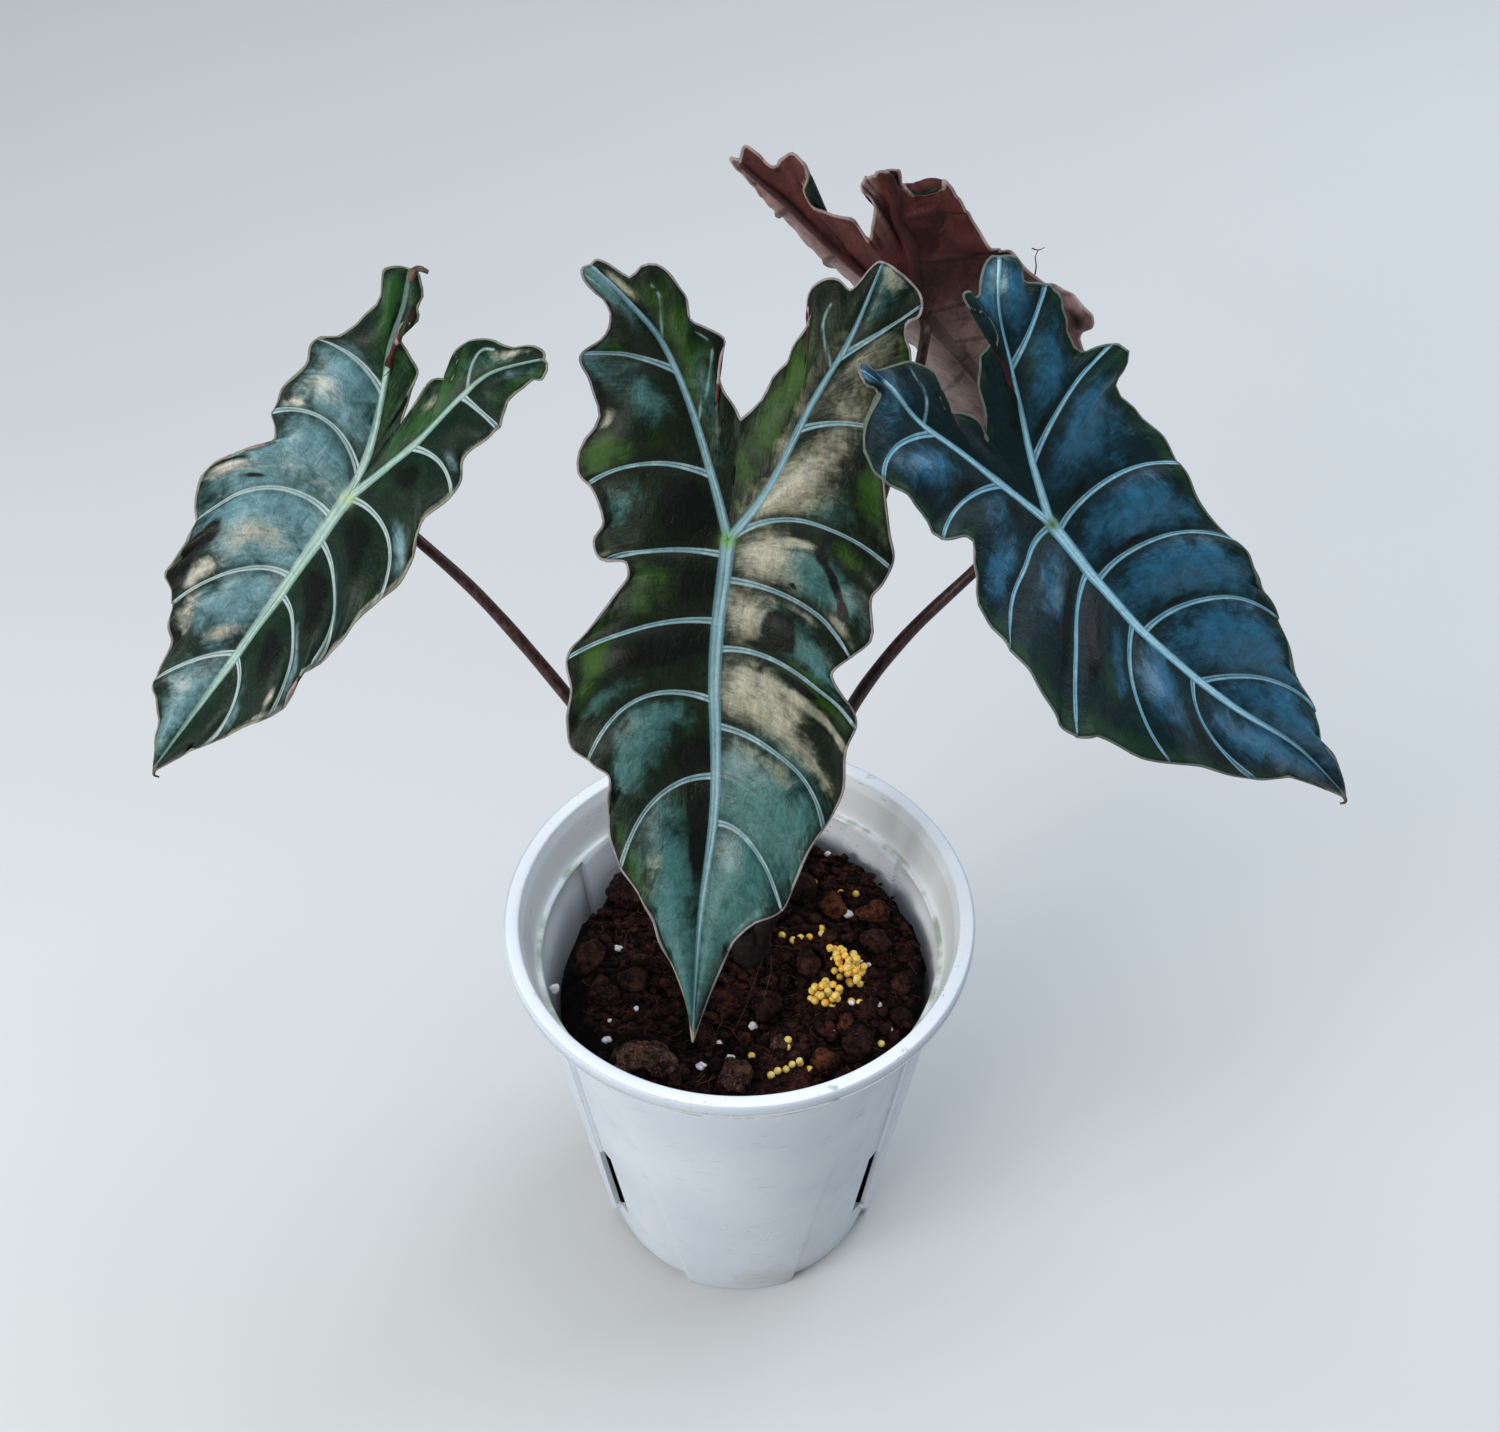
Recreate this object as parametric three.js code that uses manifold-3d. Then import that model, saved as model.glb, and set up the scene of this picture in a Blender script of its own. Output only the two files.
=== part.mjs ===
// Potted black knight alocasia: four arrow-shaped leaves on dark stalks, in a white nursery pot.
// Millimetres, +Z up. The origin is the middle of the pot's foot, on the surface it stands on.
// The viewer stands on the -Y side.

import * as THREE from 'three';
import { mergeVertices } from 'three/addons/utils/BufferGeometryUtils.js';
import Module from 'manifold-3d';

const wasm = await Module();
wasm.setup();

const CLEARANCE = 0.35;            // between pieces that rest on each other

// Pot
const POT_HEIGHT = 150;
const RIM_RADIUS = 75;
const LIP_WIDTH = 5;
const LIP_DEPTH = 5;
const LIP_ROUND = 0.8;
const COLLAR_DEPTH = 9.5;          // lip and collar together
const COLLAR_PROUD = 2.2;          // how far the collar stands out from the body
const BODY_TOP_RADIUS = 68;
const BODY_FOOT_RADIUS = 49;
const WALL = 2;
const LEDGE_DEPTH = 16.5;          // from the rim down to the ledge inside
const LEDGE_WIDTH = 1.8;
const LEDGE_INSET = 1.4;
const FLOOR_UNDERSIDE = 3.2;
const FLOOR_THICKNESS = 2.4;
const FLOOR_TOP = FLOOR_UNDERSIDE + FLOOR_THICKNESS;
const PAD_RADIUS = 12;             // flat middle of the floor, pressed down to the ground
const PAD_SLOPE = 2;
const PAD_INSET = 1.5;             // the same step seen from inside lies this much nearer the middle
const FOOT_WIDTH = 4;
const FOOT_ROUND = 1.5;
const PANEL_COUNT = 4;
const PANEL_HALF_TOP = 35;         // degrees, half of a main panel's width at the top
const PANEL_HALF_FOOT = 21;        // and at its foot
const WEDGE_RECESS = 0.9;          // how far the wedges between the panels lie back
const WEDGE_FADE = 6;              // height over which they fade out under the collar
const WALL_HEIGHTS = [40, 90];     // where the wall has a ring of corners on its way up
const SLOT_WIDTH = 4.2;
const SLOT_LOW = 24;
const SLOT_HIGH = 60;
const SLOT_ANGLES = [-34, 34, 146, 214];
const DRAIN_RADIUS = 4;
const DRAIN_RING = 26;
const DRAIN_COUNT = 6;

// Soil
const SOIL_TOP = 123;
const SOIL_BASE = 118.6;           // level of the crevices between the clods
const SOIL_RADIUS = 60;
const SOIL_DOME = 2.5;             // how much higher the middle lies than the edge
const CLOD_SIZE = 11;
const CLOD_HEIGHT = 4.2;
const CRUMB_SIZE = 4.8;
const CRUMB_HEIGHT = 1.6;
const EDGE_DROP = 7;               // from the soil's top down to its edge at the wall
const EDGE_SLUMP = 2.4;            // how far the outermost ring of soil has slid down
const EDGE_RAGGED = 0.02;
const SOIL_RINGS = 9;
const OUTER_RING = 0.933;          // reach of the rings, as shares of the edge's radius
const INNER_RING = 0.245;
const PERLITE_RADIUS = 1.5;
const PERLITE_SQUASH = 0.9;
const CLOD_SQUASH = 0.55;
const LUMP_LIFT = 0.15;            // how far a lump's middle lies above the soil, as a share of its height

// Crown, the short stem base
const CROWN_PLACE = [3, 4];
const CROWN_RADIUS = 8;
const CROWN_SHOULDER = 131;
const CROWN_TOP = 136;
const CROWN_SIDES = 14;
const CROWN_UNEVEN = 0.05;
const CROWN_HOLE_DEPTH = 22;
const SHEATH_RADIUS_LOW = 4;
const SHEATH_RADIUS_HIGH = 2.9;
const SHEATH_LENGTH = 8;           // of its straight upper stretch, which meets the stalk
const SHEATH_STEPS = 4;
const SHEATH_SIDES = 9;

// Stalks and blades
const STALK_RADIUS_LOW = 2.6;
const STALK_RADIUS_HIGH = 1.5;
const STALK_STEPS = 18;
const STALK_SIDES = 8;
const STALK_NECK = 5;              // straight stretch under the blade
const BLADE = 0.9;                 // thickness of the blade between its ribs
const RIB_DEPTH = 1.3;             // how far the midrib stands out below
const RIB_PROUD = 0.25;            // and above
const RIB_FADE = 0.75;             // share of the rib's height that is gone at the tip
const VEIN_DEPTH = 0.5;
const QUILT = 1.6;                 // how far the blade bulges up between its side veins
const INNER_QUILT = 0.6;           // share of that between a rear rib and the notch

// Fertiliser prills
const PRILL_RADIUS = 1.45;
const PRILL_STEP = 2.25;           // between the middles of prills that touch
const HEAP_SQUEEZE = 1.15;         // how much narrower than deep a heap is
const HEAP_EDGE = [0.75, 0.35];    // least share of the reach that a heap fills, and its random part
const HEAP_TOP = 0.3;              // share of the reach that has a second layer
const STRING_SWAY = 0.35;

const degrees = (a) => (a * Math.PI) / 180;
const mix = (a, b, t) => a + (b - a) * t;

// Seeded random numbers between 0 and 1
function randomFrom(seed) {
  let state = seed;
  return () => {
    state = (state * 16807) % 2147483647;
    return state / 2147483647;
  };
}

function material(color, roughness) {
  return new THREE.MeshStandardMaterial({ color, roughness, metalness: 0 });
}

function geometryOf(positions, triangles) {
  const geometry = new THREE.BufferGeometry();
  geometry.setAttribute('position', new THREE.Float32BufferAttribute(positions, 3));
  geometry.setIndex(triangles);
  return geometry;
}

// The solid of a closed geometry, for joins and cuts
function solidOf(geometry) {
  const bare = geometry.clone();
  bare.deleteAttribute('normal');
  bare.deleteAttribute('uv');
  const merged = mergeVertices(bare, 1e-4);
  const mesh = new wasm.Mesh({
    numProp: 3,
    vertProperties: Float32Array.from(merged.attributes.position.array),
    triVerts: Uint32Array.from(merged.index.array),
  });
  return new wasm.Manifold(mesh);
}

function geometryFrom(solid) {
  const mesh = solid.getMesh();
  const positions = [];
  for (let i = 0; i < mesh.vertProperties.length; i += mesh.numProp) {
    positions.push(...mesh.vertProperties.slice(i, i + 3));
  }
  return geometryOf(positions, Array.from(mesh.triVerts));
}

// Joins a list of rings of equal length into a closed skin. The first and last rings are closed
// to their middle points.
function loft(rings) {
  const count = rings[0].length;
  const positions = [];
  const triangles = [];
  rings.forEach((ring) => ring.forEach((p) => positions.push(p[0], p[1], p[2])));
  for (let r = 0; r + 1 < rings.length; r++) {
    for (let i = 0; i < count; i++) {
      const a = r * count + i;
      const b = r * count + ((i + 1) % count);
      triangles.push(a, b, b + count, a, b + count, a + count);
    }
  }
  const cap = (ring, start, flip) => {
    const middle = positions.length / 3;
    const sum = ring.reduce((s, p) => [s[0] + p[0], s[1] + p[1], s[2] + p[2]], [0, 0, 0]);
    positions.push(sum[0] / count, sum[1] / count, sum[2] / count);
    for (let i = 0; i < count; i++) {
      const a = start + i;
      const b = start + ((i + 1) % count);
      triangles.push(...(flip ? [middle, b, a] : [middle, a, b]));
    }
  };
  cap(rings[0], 0, true);
  cap(rings[rings.length - 1], (rings.length - 1) * count, false);
  return geometryOf(positions, triangles);
}

// Pot wall

// Angles of the wall's upright lines. Each quarter has a main panel and a wedge, and the lines
// lean with the edge between them. Returns [angle in degrees, how far back the wedge lies, 0 to 1].
const PANEL_STEPS = 8;
const WEDGE_STEPS = 5;
const STEP_ANGLE = 1.4;

function wallStations(z) {
  const up = Math.min(1, Math.max(0, z / (POT_HEIGHT - COLLAR_DEPTH)));
  const half = mix(PANEL_HALF_FOOT, PANEL_HALF_TOP, up);
  const quarter = 360 / PANEL_COUNT;
  const stations = [];
  for (let q = 0; q < PANEL_COUNT; q++) {
    const middle = -90 + q * quarter;
    for (let i = 0; i <= PANEL_STEPS; i++) {
      stations.push([middle + mix(-half, half, i / PANEL_STEPS), 0]);
    }
    const from = middle + half + STEP_ANGLE;
    const to = middle + quarter - half - STEP_ANGLE;
    for (let i = 0; i <= WEDGE_STEPS; i++) stations.push([mix(from, to, i / WEDGE_STEPS), 1]);
  }
  return stations;
}

function bodyRadius(z) {
  return mix(BODY_FOOT_RADIUS, BODY_TOP_RADIUS, z / (POT_HEIGHT - COLLAR_DEPTH));
}

// One ring of the wall: radius outside the body, less an inset. The wedges lie back, and fade out
// under the collar.
function wallRing(z, inset, { flat = false, lift = 0 } = {}) {
  const fade = Math.min(1, (POT_HEIGHT - COLLAR_DEPTH - z) / WEDGE_FADE);
  return wallStations(z).map(([angle, back]) => {
    const recess = flat ? 0 : WEDGE_RECESS * back * Math.max(0, fade);
    const radius = bodyRadius(z) - inset - recess;
    const a = degrees(angle);
    return [radius * Math.cos(a), radius * Math.sin(a), z + lift * back];
  });
}

function roundRing(z, radius) {
  return wallStations(z).map(([angle]) => {
    const a = degrees(angle);
    return [radius * Math.cos(a), radius * Math.sin(a), z];
  });
}

function makePot() {
  const bodyTop = POT_HEIGHT - COLLAR_DEPTH;
  const lipFoot = POT_HEIGHT - LIP_DEPTH;
  const mouth = RIM_RADIUS - LIP_WIDTH;
  const ledge = POT_HEIGHT - LEDGE_DEPTH;
  const ledgeRadius = bodyRadius(ledge) - LEDGE_INSET;
  const skin = loft([
    roundRing(0, PAD_RADIUS),
    roundRing(FLOOR_UNDERSIDE, PAD_RADIUS + PAD_SLOPE),
    wallRing(FLOOR_UNDERSIDE, FOOT_WIDTH + 1, { flat: true }),
    wallRing(0, FOOT_WIDTH, { flat: true, lift: FLOOR_UNDERSIDE - 0.1 }),
    wallRing(0, 1, { lift: FLOOR_UNDERSIDE }),
    wallRing(FOOT_ROUND, 0, { lift: FLOOR_UNDERSIDE }),
    ...WALL_HEIGHTS.map((z) => wallRing(z, 0)),
    wallRing(bodyTop - WEDGE_FADE, 0),
    wallRing(bodyTop - 0.5, 0),
    roundRing(bodyTop, BODY_TOP_RADIUS + COLLAR_PROUD),
    roundRing(lipFoot, RIM_RADIUS - COLLAR_PROUD),
    roundRing(lipFoot + LIP_ROUND / 2, RIM_RADIUS - LIP_ROUND / 2),
    roundRing(POT_HEIGHT - LIP_ROUND, RIM_RADIUS),
    roundRing(POT_HEIGHT, RIM_RADIUS - LIP_ROUND),
    roundRing(POT_HEIGHT, mouth + LIP_ROUND),
    roundRing(POT_HEIGHT - LIP_ROUND, mouth),
    roundRing(ledge, ledgeRadius),
    roundRing(ledge - 0.3, ledgeRadius - LEDGE_WIDTH),
    wallRing(ledge - 3, WALL + 0.6),
    ...WALL_HEIGHTS.toReversed().map((z) => wallRing(z, WALL)),
    wallRing(FLOOR_TOP, WALL),
    roundRing(FLOOR_TOP, PAD_RADIUS + PAD_SLOPE - PAD_INSET),
    roundRing(FLOOR_THICKNESS, PAD_RADIUS - PAD_INSET),
  ]);
  let pot = solidOf(skin);
  const slotMiddle = (SLOT_HIGH + SLOT_LOW) / 2;
  for (const angle of SLOT_ANGLES) {
    const slot = new THREE.BoxGeometry(7 * WALL, SLOT_WIDTH, SLOT_HIGH - SLOT_LOW);
    slot.translate(bodyRadius(slotMiddle), 0, slotMiddle);
    slot.rotateZ(degrees(angle));
    pot = pot.subtract(solidOf(slot));
  }
  for (let i = 0; i < DRAIN_COUNT; i++) {
    const drain = new THREE.CylinderGeometry(DRAIN_RADIUS, DRAIN_RADIUS, 4 * FLOOR_TOP, 10);
    drain.rotateX(Math.PI / 2);
    drain.translate(DRAIN_RING, 0, 0);
    drain.rotateZ(degrees((360 / DRAIN_COUNT) * i));
    pot = pot.subtract(solidOf(drain));
  }
  return geometryFrom(pot);
}

// Soil surface: rounded clods with crevices between them. Each clod has its own place and height.
function clodNoise(x, y, size, seed) {
  const column = Math.floor(x / size);
  const row = Math.floor(y / size);
  let best = 9;
  let level = 0;
  for (let i = -1; i <= 1; i++) {
    for (let j = -1; j <= 1; j++) {
      const draw = (k) => {
        const wave = Math.sin((column + i) * 127.1 + (row + j) * 311.7 + seed + k * 74.7) * 43758.5453;
        return wave - Math.floor(wave);
      };
      const dx = column + i + 0.15 + 0.7 * draw(0) - x / size;
      const dy = row + j + 0.15 + 0.7 * draw(1) - y / size;
      const d = Math.hypot(dx, dy);
      if (d < best) {
        best = d;
        level = draw(2);
      }
    }
  }
  return Math.sqrt(Math.max(0, 1 - best * best)) * (0.45 + 0.55 * level);
}

// Fertiliser on the soil, in heaps and short strings of prills that touch. Each has its place, the
// radius of the level patch of soil that it lies on, and its reach or its count of prills.
const PRILLS = {
  prills_rear_heap: { place: [34, -4], level: 8, reach: 6.4, seed: 5 },
  prills_front_heap: { place: [27.5, -16], level: 7, reach: 5, seed: 9 },
  prills_front_string: { place: [14, -44], level: 6, count: 5, heading: 20 },
  prills_near_string: { place: [15.5, -33], level: 4, count: 3, heading: 80 },
  prills_rear_string: { place: [20.5, 8.5], level: 5, count: 3, heading: 10 },
};
const PRILL_SEAT = SOIL_TOP + 1.5;
const LEVEL_EDGE = 6;

function soilHeight(x, y) {
  let z = SOIL_BASE + SOIL_DOME * (1 - (x * x + y * y) / SOIL_RADIUS ** 2);
  z += CLOD_HEIGHT * clodNoise(x, y, CLOD_SIZE, 3);
  z += CRUMB_HEIGHT * clodNoise(x, y, CRUMB_SIZE, 8);
  for (const { place, level } of Object.values(PRILLS)) {
    const d = Math.hypot(x - place[0], y - place[1]);
    const near = Math.min(1, Math.max(0, (level + LEVEL_EDGE - d) / LEVEL_EDGE));
    if (near > 0) z = Math.min(PRILL_SEAT, mix(z, PRILL_SEAT, near));
  }
  return z;
}

// White perlite grains and clods, as x, y and size, where they lie on the soil
const PERLITE = [
  [36, 19], [-10, -35], [-42, 4], [-36, -21], [-43, -26], [-43, -33], [44, -20], [29, -30],
  [43.5, 0], [-59, -10], [31, 47], [-15, -43],
];
const CLODS = [
  [-1, -46, 6], [-32, -38, 7.5], [-20, -44, 5], [45, 20, 6], [26, -40, 5], [38, -32, 5.5],
  [14, 42, 7], [-38, 28, 7], [-50, 2, 6], [-20, 20, 6.5], [31, 22, 5], [53, -8, 5],
];

function makeSoil() {
  const floor = FLOOR_TOP + CLEARANCE;
  const gap = WALL + CLEARANCE;
  const edgeHeight = SOIL_TOP - EDGE_DROP;
  const padReach = PAD_RADIUS - PAD_INSET - 0.5;
  const rim = wallRing(edgeHeight, gap + 0.6);
  const rings = [
    roundRing(FLOOR_THICKNESS + CLEARANCE, padReach),
    roundRing(floor, padReach + PAD_SLOPE),
    wallRing(floor, gap),
    ...WALL_HEIGHTS.map((z) => wallRing(z, gap)),
    wallRing(edgeHeight - 4, gap + 0.4),
    rim,
  ];
  for (let k = 0; k < SOIL_RINGS; k++) {
    const reach = mix(OUTER_RING, INNER_RING, k / (SOIL_RINGS - 1));
    rings.push(rim.map(([x, y], i) => {
      const ragged = k === 0 ? 1 - EDGE_RAGGED * (1 + Math.sin(i * 2.3)) : 1;
      const px = x * reach * ragged;
      const py = y * reach * ragged;
      return [px, py, soilHeight(px, py) - (k === 0 ? EDGE_SLUMP : 0)];
    }));
  }
  let soil = solidOf(loft(rings));
  const random = randomFrom(11);
  const lump = (x, y, size, squash) => {
    const stone = new THREE.IcosahedronGeometry(size, 0);
    stone.rotateX(random());
    stone.scale(1, 0.75 + 0.3 * random(), squash);
    stone.rotateZ(2 * Math.PI * random());
    stone.translate(x, y, soilHeight(x, y) + size * squash * LUMP_LIFT);
    soil = soil.add(solidOf(stone));
  };
  for (const [x, y, size] of CLODS) lump(x, y, size, CLOD_SQUASH);
  for (const [x, y] of PERLITE) lump(x, y, PERLITE_RADIUS, PERLITE_SQUASH);
  const holeRadius = CROWN_RADIUS + CLEARANCE;
  const hole = new THREE.CylinderGeometry(holeRadius, holeRadius, 3 * CROWN_HOLE_DEPTH, 16);
  hole.rotateX(Math.PI / 2);
  hole.translate(CROWN_PLACE[0], CROWN_PLACE[1], SOIL_TOP + 0.5 * CROWN_HOLE_DEPTH);
  soil = soil.subtract(solidOf(hole));
  const bodies = soil.decompose().sort((a, b) => b.volume() - a.volume());
  return geometryFrom(bodies[0]);
}

// A heap or string of round prills that touch, joined in one body, lying on the level z = 0
function makePrills({ reach = 0, count = 0, heading = 0, seed = 1 }) {
  const random = randomFrom(seed);
  const step = PRILL_STEP;
  const places = [];
  for (let x = -reach; reach && x <= reach; x += step) {
    for (let y = -reach; y <= reach; y += step) {
      const d = Math.hypot(x * HEAP_SQUEEZE, y) / reach;
      if (d < HEAP_EDGE[0] + HEAP_EDGE[1] * random()) places.push([x, y, 0]);
      if (d < HEAP_TOP) places.push([x + step / 2, y + step / 2, step * Math.SQRT1_2]);
    }
  }
  for (let i = 0; i < count; i++) {
    const along = (i - (count - 1) / 2) * step;
    const a = degrees(heading);
    const side = STRING_SWAY * Math.sin(2.2 * i);
    places.push([along * Math.cos(a) - side * Math.sin(a), along * Math.sin(a) + side * Math.cos(a), 0]);
  }
  let body = null;
  for (const [x, y, z] of places) {
    const prill = new THREE.IcosahedronGeometry(PRILL_RADIUS, 0);
    prill.rotateX(random());
    prill.translate(x, y, z + PRILL_RADIUS);
    body = body ? body.add(solidOf(prill)) : solidOf(prill);
  }
  const bodies = body.decompose().sort((a, b) => b.volume() - a.volume());
  return geometryFrom(bodies[0]);
}

// A round bar along a smooth curve through the points, from one radius to another
function makeBar(points, radiusFrom, radiusTo, steps, sides) {
  const curve = new THREE.CatmullRomCurve3(points.map((p) => new THREE.Vector3(...p)), false, 'centripetal');
  const frames = curve.computeFrenetFrames(steps, false);
  const rings = [];
  for (let i = 0; i <= steps; i++) {
    const centre = curve.getPointAt(i / steps);
    const radius = mix(radiusFrom, radiusTo, i / steps);
    const ring = [];
    for (let k = 0; k < sides; k++) {
      const a = (2 * Math.PI * k) / sides;
      const p = centre.clone();
      p.addScaledVector(frames.normals[i], radius * Math.cos(a));
      p.addScaledVector(frames.binormals[i], radius * Math.sin(a));
      ring.push([p.x, p.y, p.z]);
    }
    rings.push(ring);
  }
  return loft(rings);
}

// Blades. Each is drawn as it lies flat: u runs from the junction with the stalk to the tip, v to
// the side, and the third number, where there is one, is how far that place is curled up.
const LEAVES = {
  front: {
    junction: [-2.5, 21.7, 286],
    tip: [-13.7, -52.8, 153],
    roll: 0,
    arch: 3,
    wave: 2.2,
    midrib: [[0, 0], [34, -1], [75, 2], [113, 0], [153, 0]],
    sides: [
      {
        fold: 8,
        rib: [[-18, -6], [-41, -15], [-55, -23], [-65, -33], [-70, -43]],
        outer: [
          [-66, -41], [-60, -37], [-54, -38], [-48, -44], [-42, -41], [-37, -39], [-31, -38], [-23, -43],
          [-15, -43], [-12, -39], [-3, -35], [3, -38], [8, -36], [8, -28], [11, -27], [18, -31],
          [29, -38], [36, -43], [45, -41], [55, -42], [63, -41], [67, -34], [70, -29], [79, -29],
          [90, -28], [97, -25], [106, -18], [113, -14], [122, -11], [132, -6], [143, -2],
        ],
        inner: [
          [-39, -3], [-46, -6], [-54, -6], [-58, -11], [-61, -16], [-67, -17], [-73, -22], [-72, -29],
          [-68, -31], [-71, -37], [-73, -41],
        ],
        veins: [
          [[-45, -19], [-49, -30], [-48, -43]], [[-17, -8], [-20, -24], [-13, -40]],
          [[4, -1], [4, -20], [7, -34]], [[23, 0], [26, -22], [37, -41]],
          [[46, -1], [47, -22], [66, -35]], [[68, 0], [76, -15], [98, -24]],
        ],
      },
      {
        fold: 8,
        rib: [[-15, 10], [-39, 20], [-57, 29], [-73, 37], [-78, 39]],
        outer: [
          [-74, 45], [-70, 46], [-67, 49], [-63, 46], [-56, 47], [-48, 46], [-36, 45], [-28, 42],
          [-19, 43], [-8, 45], [0, 47], [6, 45], [11, 42], [23, 43], [28, 38], [33, 33], [41, 37],
          [47, 41], [54, 39], [67, 39], [76, 36], [85, 31], [98, 27], [106, 24], [110, 17], [117, 11],
          [128, 7], [141, 3],
        ],
        inner: [
          [-38, 5], [-45, 11], [-52, 12], [-57, 14], [-62, 18], [-67, 17], [-72, 20], [-74, 28],
          [-78, 31], [-80, 36],
        ],
        veins: [
          [[-53, 28], [-62, 39], [-69, 47]], [[-33, 17], [-36, 30], [-34, 45]],
          [[0, 1], [-8, 21], [2, 46]], [[11, 0], [15, 22], [28, 37]], [[31, 0], [33, 19], [48, 39]],
          [[53, 0], [61, 23], [79, 34]], [[82, 1], [87, 14], [106, 24]],
        ],
      },
    ],
    sinus: [-34, 1],
  },
  left: {
    junction: [-108.6, 33.3, 292],
    tip: [-175.9, 8.8, 206],
    roll: -38,
    arch: 2,
    wave: 2,
    midrib: [[0, 0], [33, 1], [76, 1], [112, 0]],
    sides: [
      {
        fold: 22,
        rib: [[-15, -3], [-31, -9], [-43, -14], [-56, -18], [-65, -22]],
        outer: [
          [-61, -26], [-53, -25], [-45, -26], [-37, -28], [-33, -32], [-25, -30], [-15, -33], [-7, -30],
          [-1, -26], [7, -31], [18, -37], [26, -37], [35, -30], [45, -29], [54, -30], [60, -23],
          [70, -18], [85, -15], [91, -10], [102, -6],
        ],
        inner: [[-34, -3], [-41, -5], [-45, -10], [-50, -14, 2], [-56, -11, 5], [-61, -14, 4], [-64, -21]],
        veins: [
          [[-31, -9], [-35, -20], [-33, -32]], [[-7, -1], [-15, -17], [-8, -30]],
          [[8, 0], [12, -20], [33, -30]], [[30, 1], [38, -13], [60, -23]],
          [[60, 1], [70, -8], [85, -15]],
        ],
      },
      {
        fold: 22,
        rib: [[-9, 3], [-31, 9], [-49, 12], [-58, 15], [-65, 20], [-73, 27]],
        outer: [
          [-73, 31], [-67, 27], [-56, 24], [-51, 28], [-46, 28], [-36, 24], [-28, 29], [-15, 27],
          [-6, 30], [3, 32], [16, 30], [31, 29], [42, 26], [45, 25], [57, 26], [64, 24], [71, 20],
          [87, 12], [96, 7],
        ],
        inner: [
          [-33, 0], [-41, 0], [-46, 4], [-50, 5], [-53, 1], [-58, 2], [-65, 9], [-69, 18], [-74, 23],
        ],
        veins: [
          [[-47, 13], [-49, 19], [-50, 28]], [[-25, 8], [-30, 19], [-27, 29]],
          [[0, 0], [-3, 19], [10, 30]], [[15, 0], [24, 21], [44, 25]], [[36, 1], [43, 17], [64, 24]],
          [[61, 1], [72, 11], [91, 10]],
        ],
      },
    ],
    sinus: [-28, 0],
  },
  right: {
    junction: [86.2, 23.4, 290],
    tip: [185.5, 10.1, 192],
    roll: 33,
    arch: 3,
    wave: 2,
    midrib: [[0, 0], [21, -5], [45, -8], [80, -6], [111, 0], [140, 0]],
    sides: [
      {
        fold: 19,
        rib: [[-11, -1], [-35, -3], [-52, -6], [-66, -5], [-75, -9, 3]],
        outer: [
          [-73, -12, 3], [-69, -10, 2], [-65, -18, 2], [-59, -26], [-54, -31], [-46, -29], [-35, -30],
          [-32, -31], [-25, -25], [-19, -32], [-12, -40], [-4, -43], [7, -48], [22, -53], [29, -54],
          [36, -49], [56, -43], [74, -33], [100, -20], [112, -11], [130, -3],
        ],
        inner: [[-38, 6], [-46, 3], [-50, 5], [-53, 9], [-61, 9], [-66, 6], [-72, -3, 2], [-76, -5, 3]],
        veins: [
          [[-46, -6], [-56, -18], [-56, -30]], [[-20, -2], [-30, -16], [-32, -31]],
          [[0, 0], [-5, -24], [0, -45]], [[17, -4], [18, -24], [29, -54]],
          [[37, -9], [44, -28], [64, -40]], [[64, -8], [74, -20], [98, -21]],
        ],
      },
      {
        fold: 19,
        rib: [[-10, 6], [-22, 13], [-39, 24], [-53, 33], [-61, 43]],
        outer: [
          [-58, 45], [-51, 46], [-47, 48], [-41, 44], [-31, 41], [-24, 43], [-18, 44], [-8, 40],
          [13, 40], [28, 34], [50, 32], [61, 29], [72, 28], [87, 19], [108, 14], [118, 6], [134, 5],
        ],
        inner: [
          [-36, 10], [-42, 14], [-47, 19], [-49, 27], [-54, 30], [-62, 26, 3], [-60, 30, 2], [-62, 38],
          [-63, 42],
        ],
        veins: [
          [[-39, 24], [-43, 38], [-47, 48]], [[-16, 9], [-21, 28], [-18, 44]],
          [[3, -1], [6, 22], [20, 37]], [[21, -5], [30, 19], [50, 32]], [[42, -8], [56, 16], [78, 24]],
          [[67, -6], [88, 9], [110, 12]],
        ],
      },
    ],
    sinus: [-31, 5],
  },
  back: {
    junction: [53.3, 75, 322.7],
    tip: [105.9, 87.5, 210],
    roll: -75,
    arch: 3,
    wave: 2,
    midrib: [[0, 0], [27, -5], [63, -7], [97, -3], [125, 0]],
    sides: [
      {
        fold: 15,
        rib: [[-14, -3], [-24, -6], [-36, -6], [-43, -8], [-51, -9]],
        outer: [
          [-47, -12], [-41, -11], [-38, -13], [-38, -20], [-33, -23], [-19, -24], [-10, -27], [-2, -31],
          [11, -36], [19, -41, -3], [26, -44, -5], [32, -38, -2], [44, -36], [56, -36], [79, -29],
          [97, -19], [113, -9],
        ],
        inner: [[-37, 1], [-43, -2], [-47, 0, 3], [-49, -2, 4], [-50, -5, 2], [-52, -7]],
        veins: [
          [[-35, -6], [-31, -16], [-26, -24]], [[-20, -5], [-15, -14], [-9, -27]],
          [[-2, 0], [3, -16], [11, -36]], [[12, -3], [21, -20], [34, -37]],
          [[42, -7], [51, -23], [67, -33]], [[73, -6], [81, -17], [96, -21]],
        ],
      },
      {
        fold: 15,
        rib: [[-22, 11], [-37, 17], [-49, 21], [-59, 25], [-67, 28]],
        outer: [
          [-65, 32, 2], [-55, 30, 6], [-44, 29, 9], [-29, 27, 12], [-14, 22, 15], [2, 19, 17],
          [20, 15, 19], [38, 13, 19], [56, 13, 18], [71, 12, 14], [92, 11, 9], [113, 6, 4],
        ],
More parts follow.
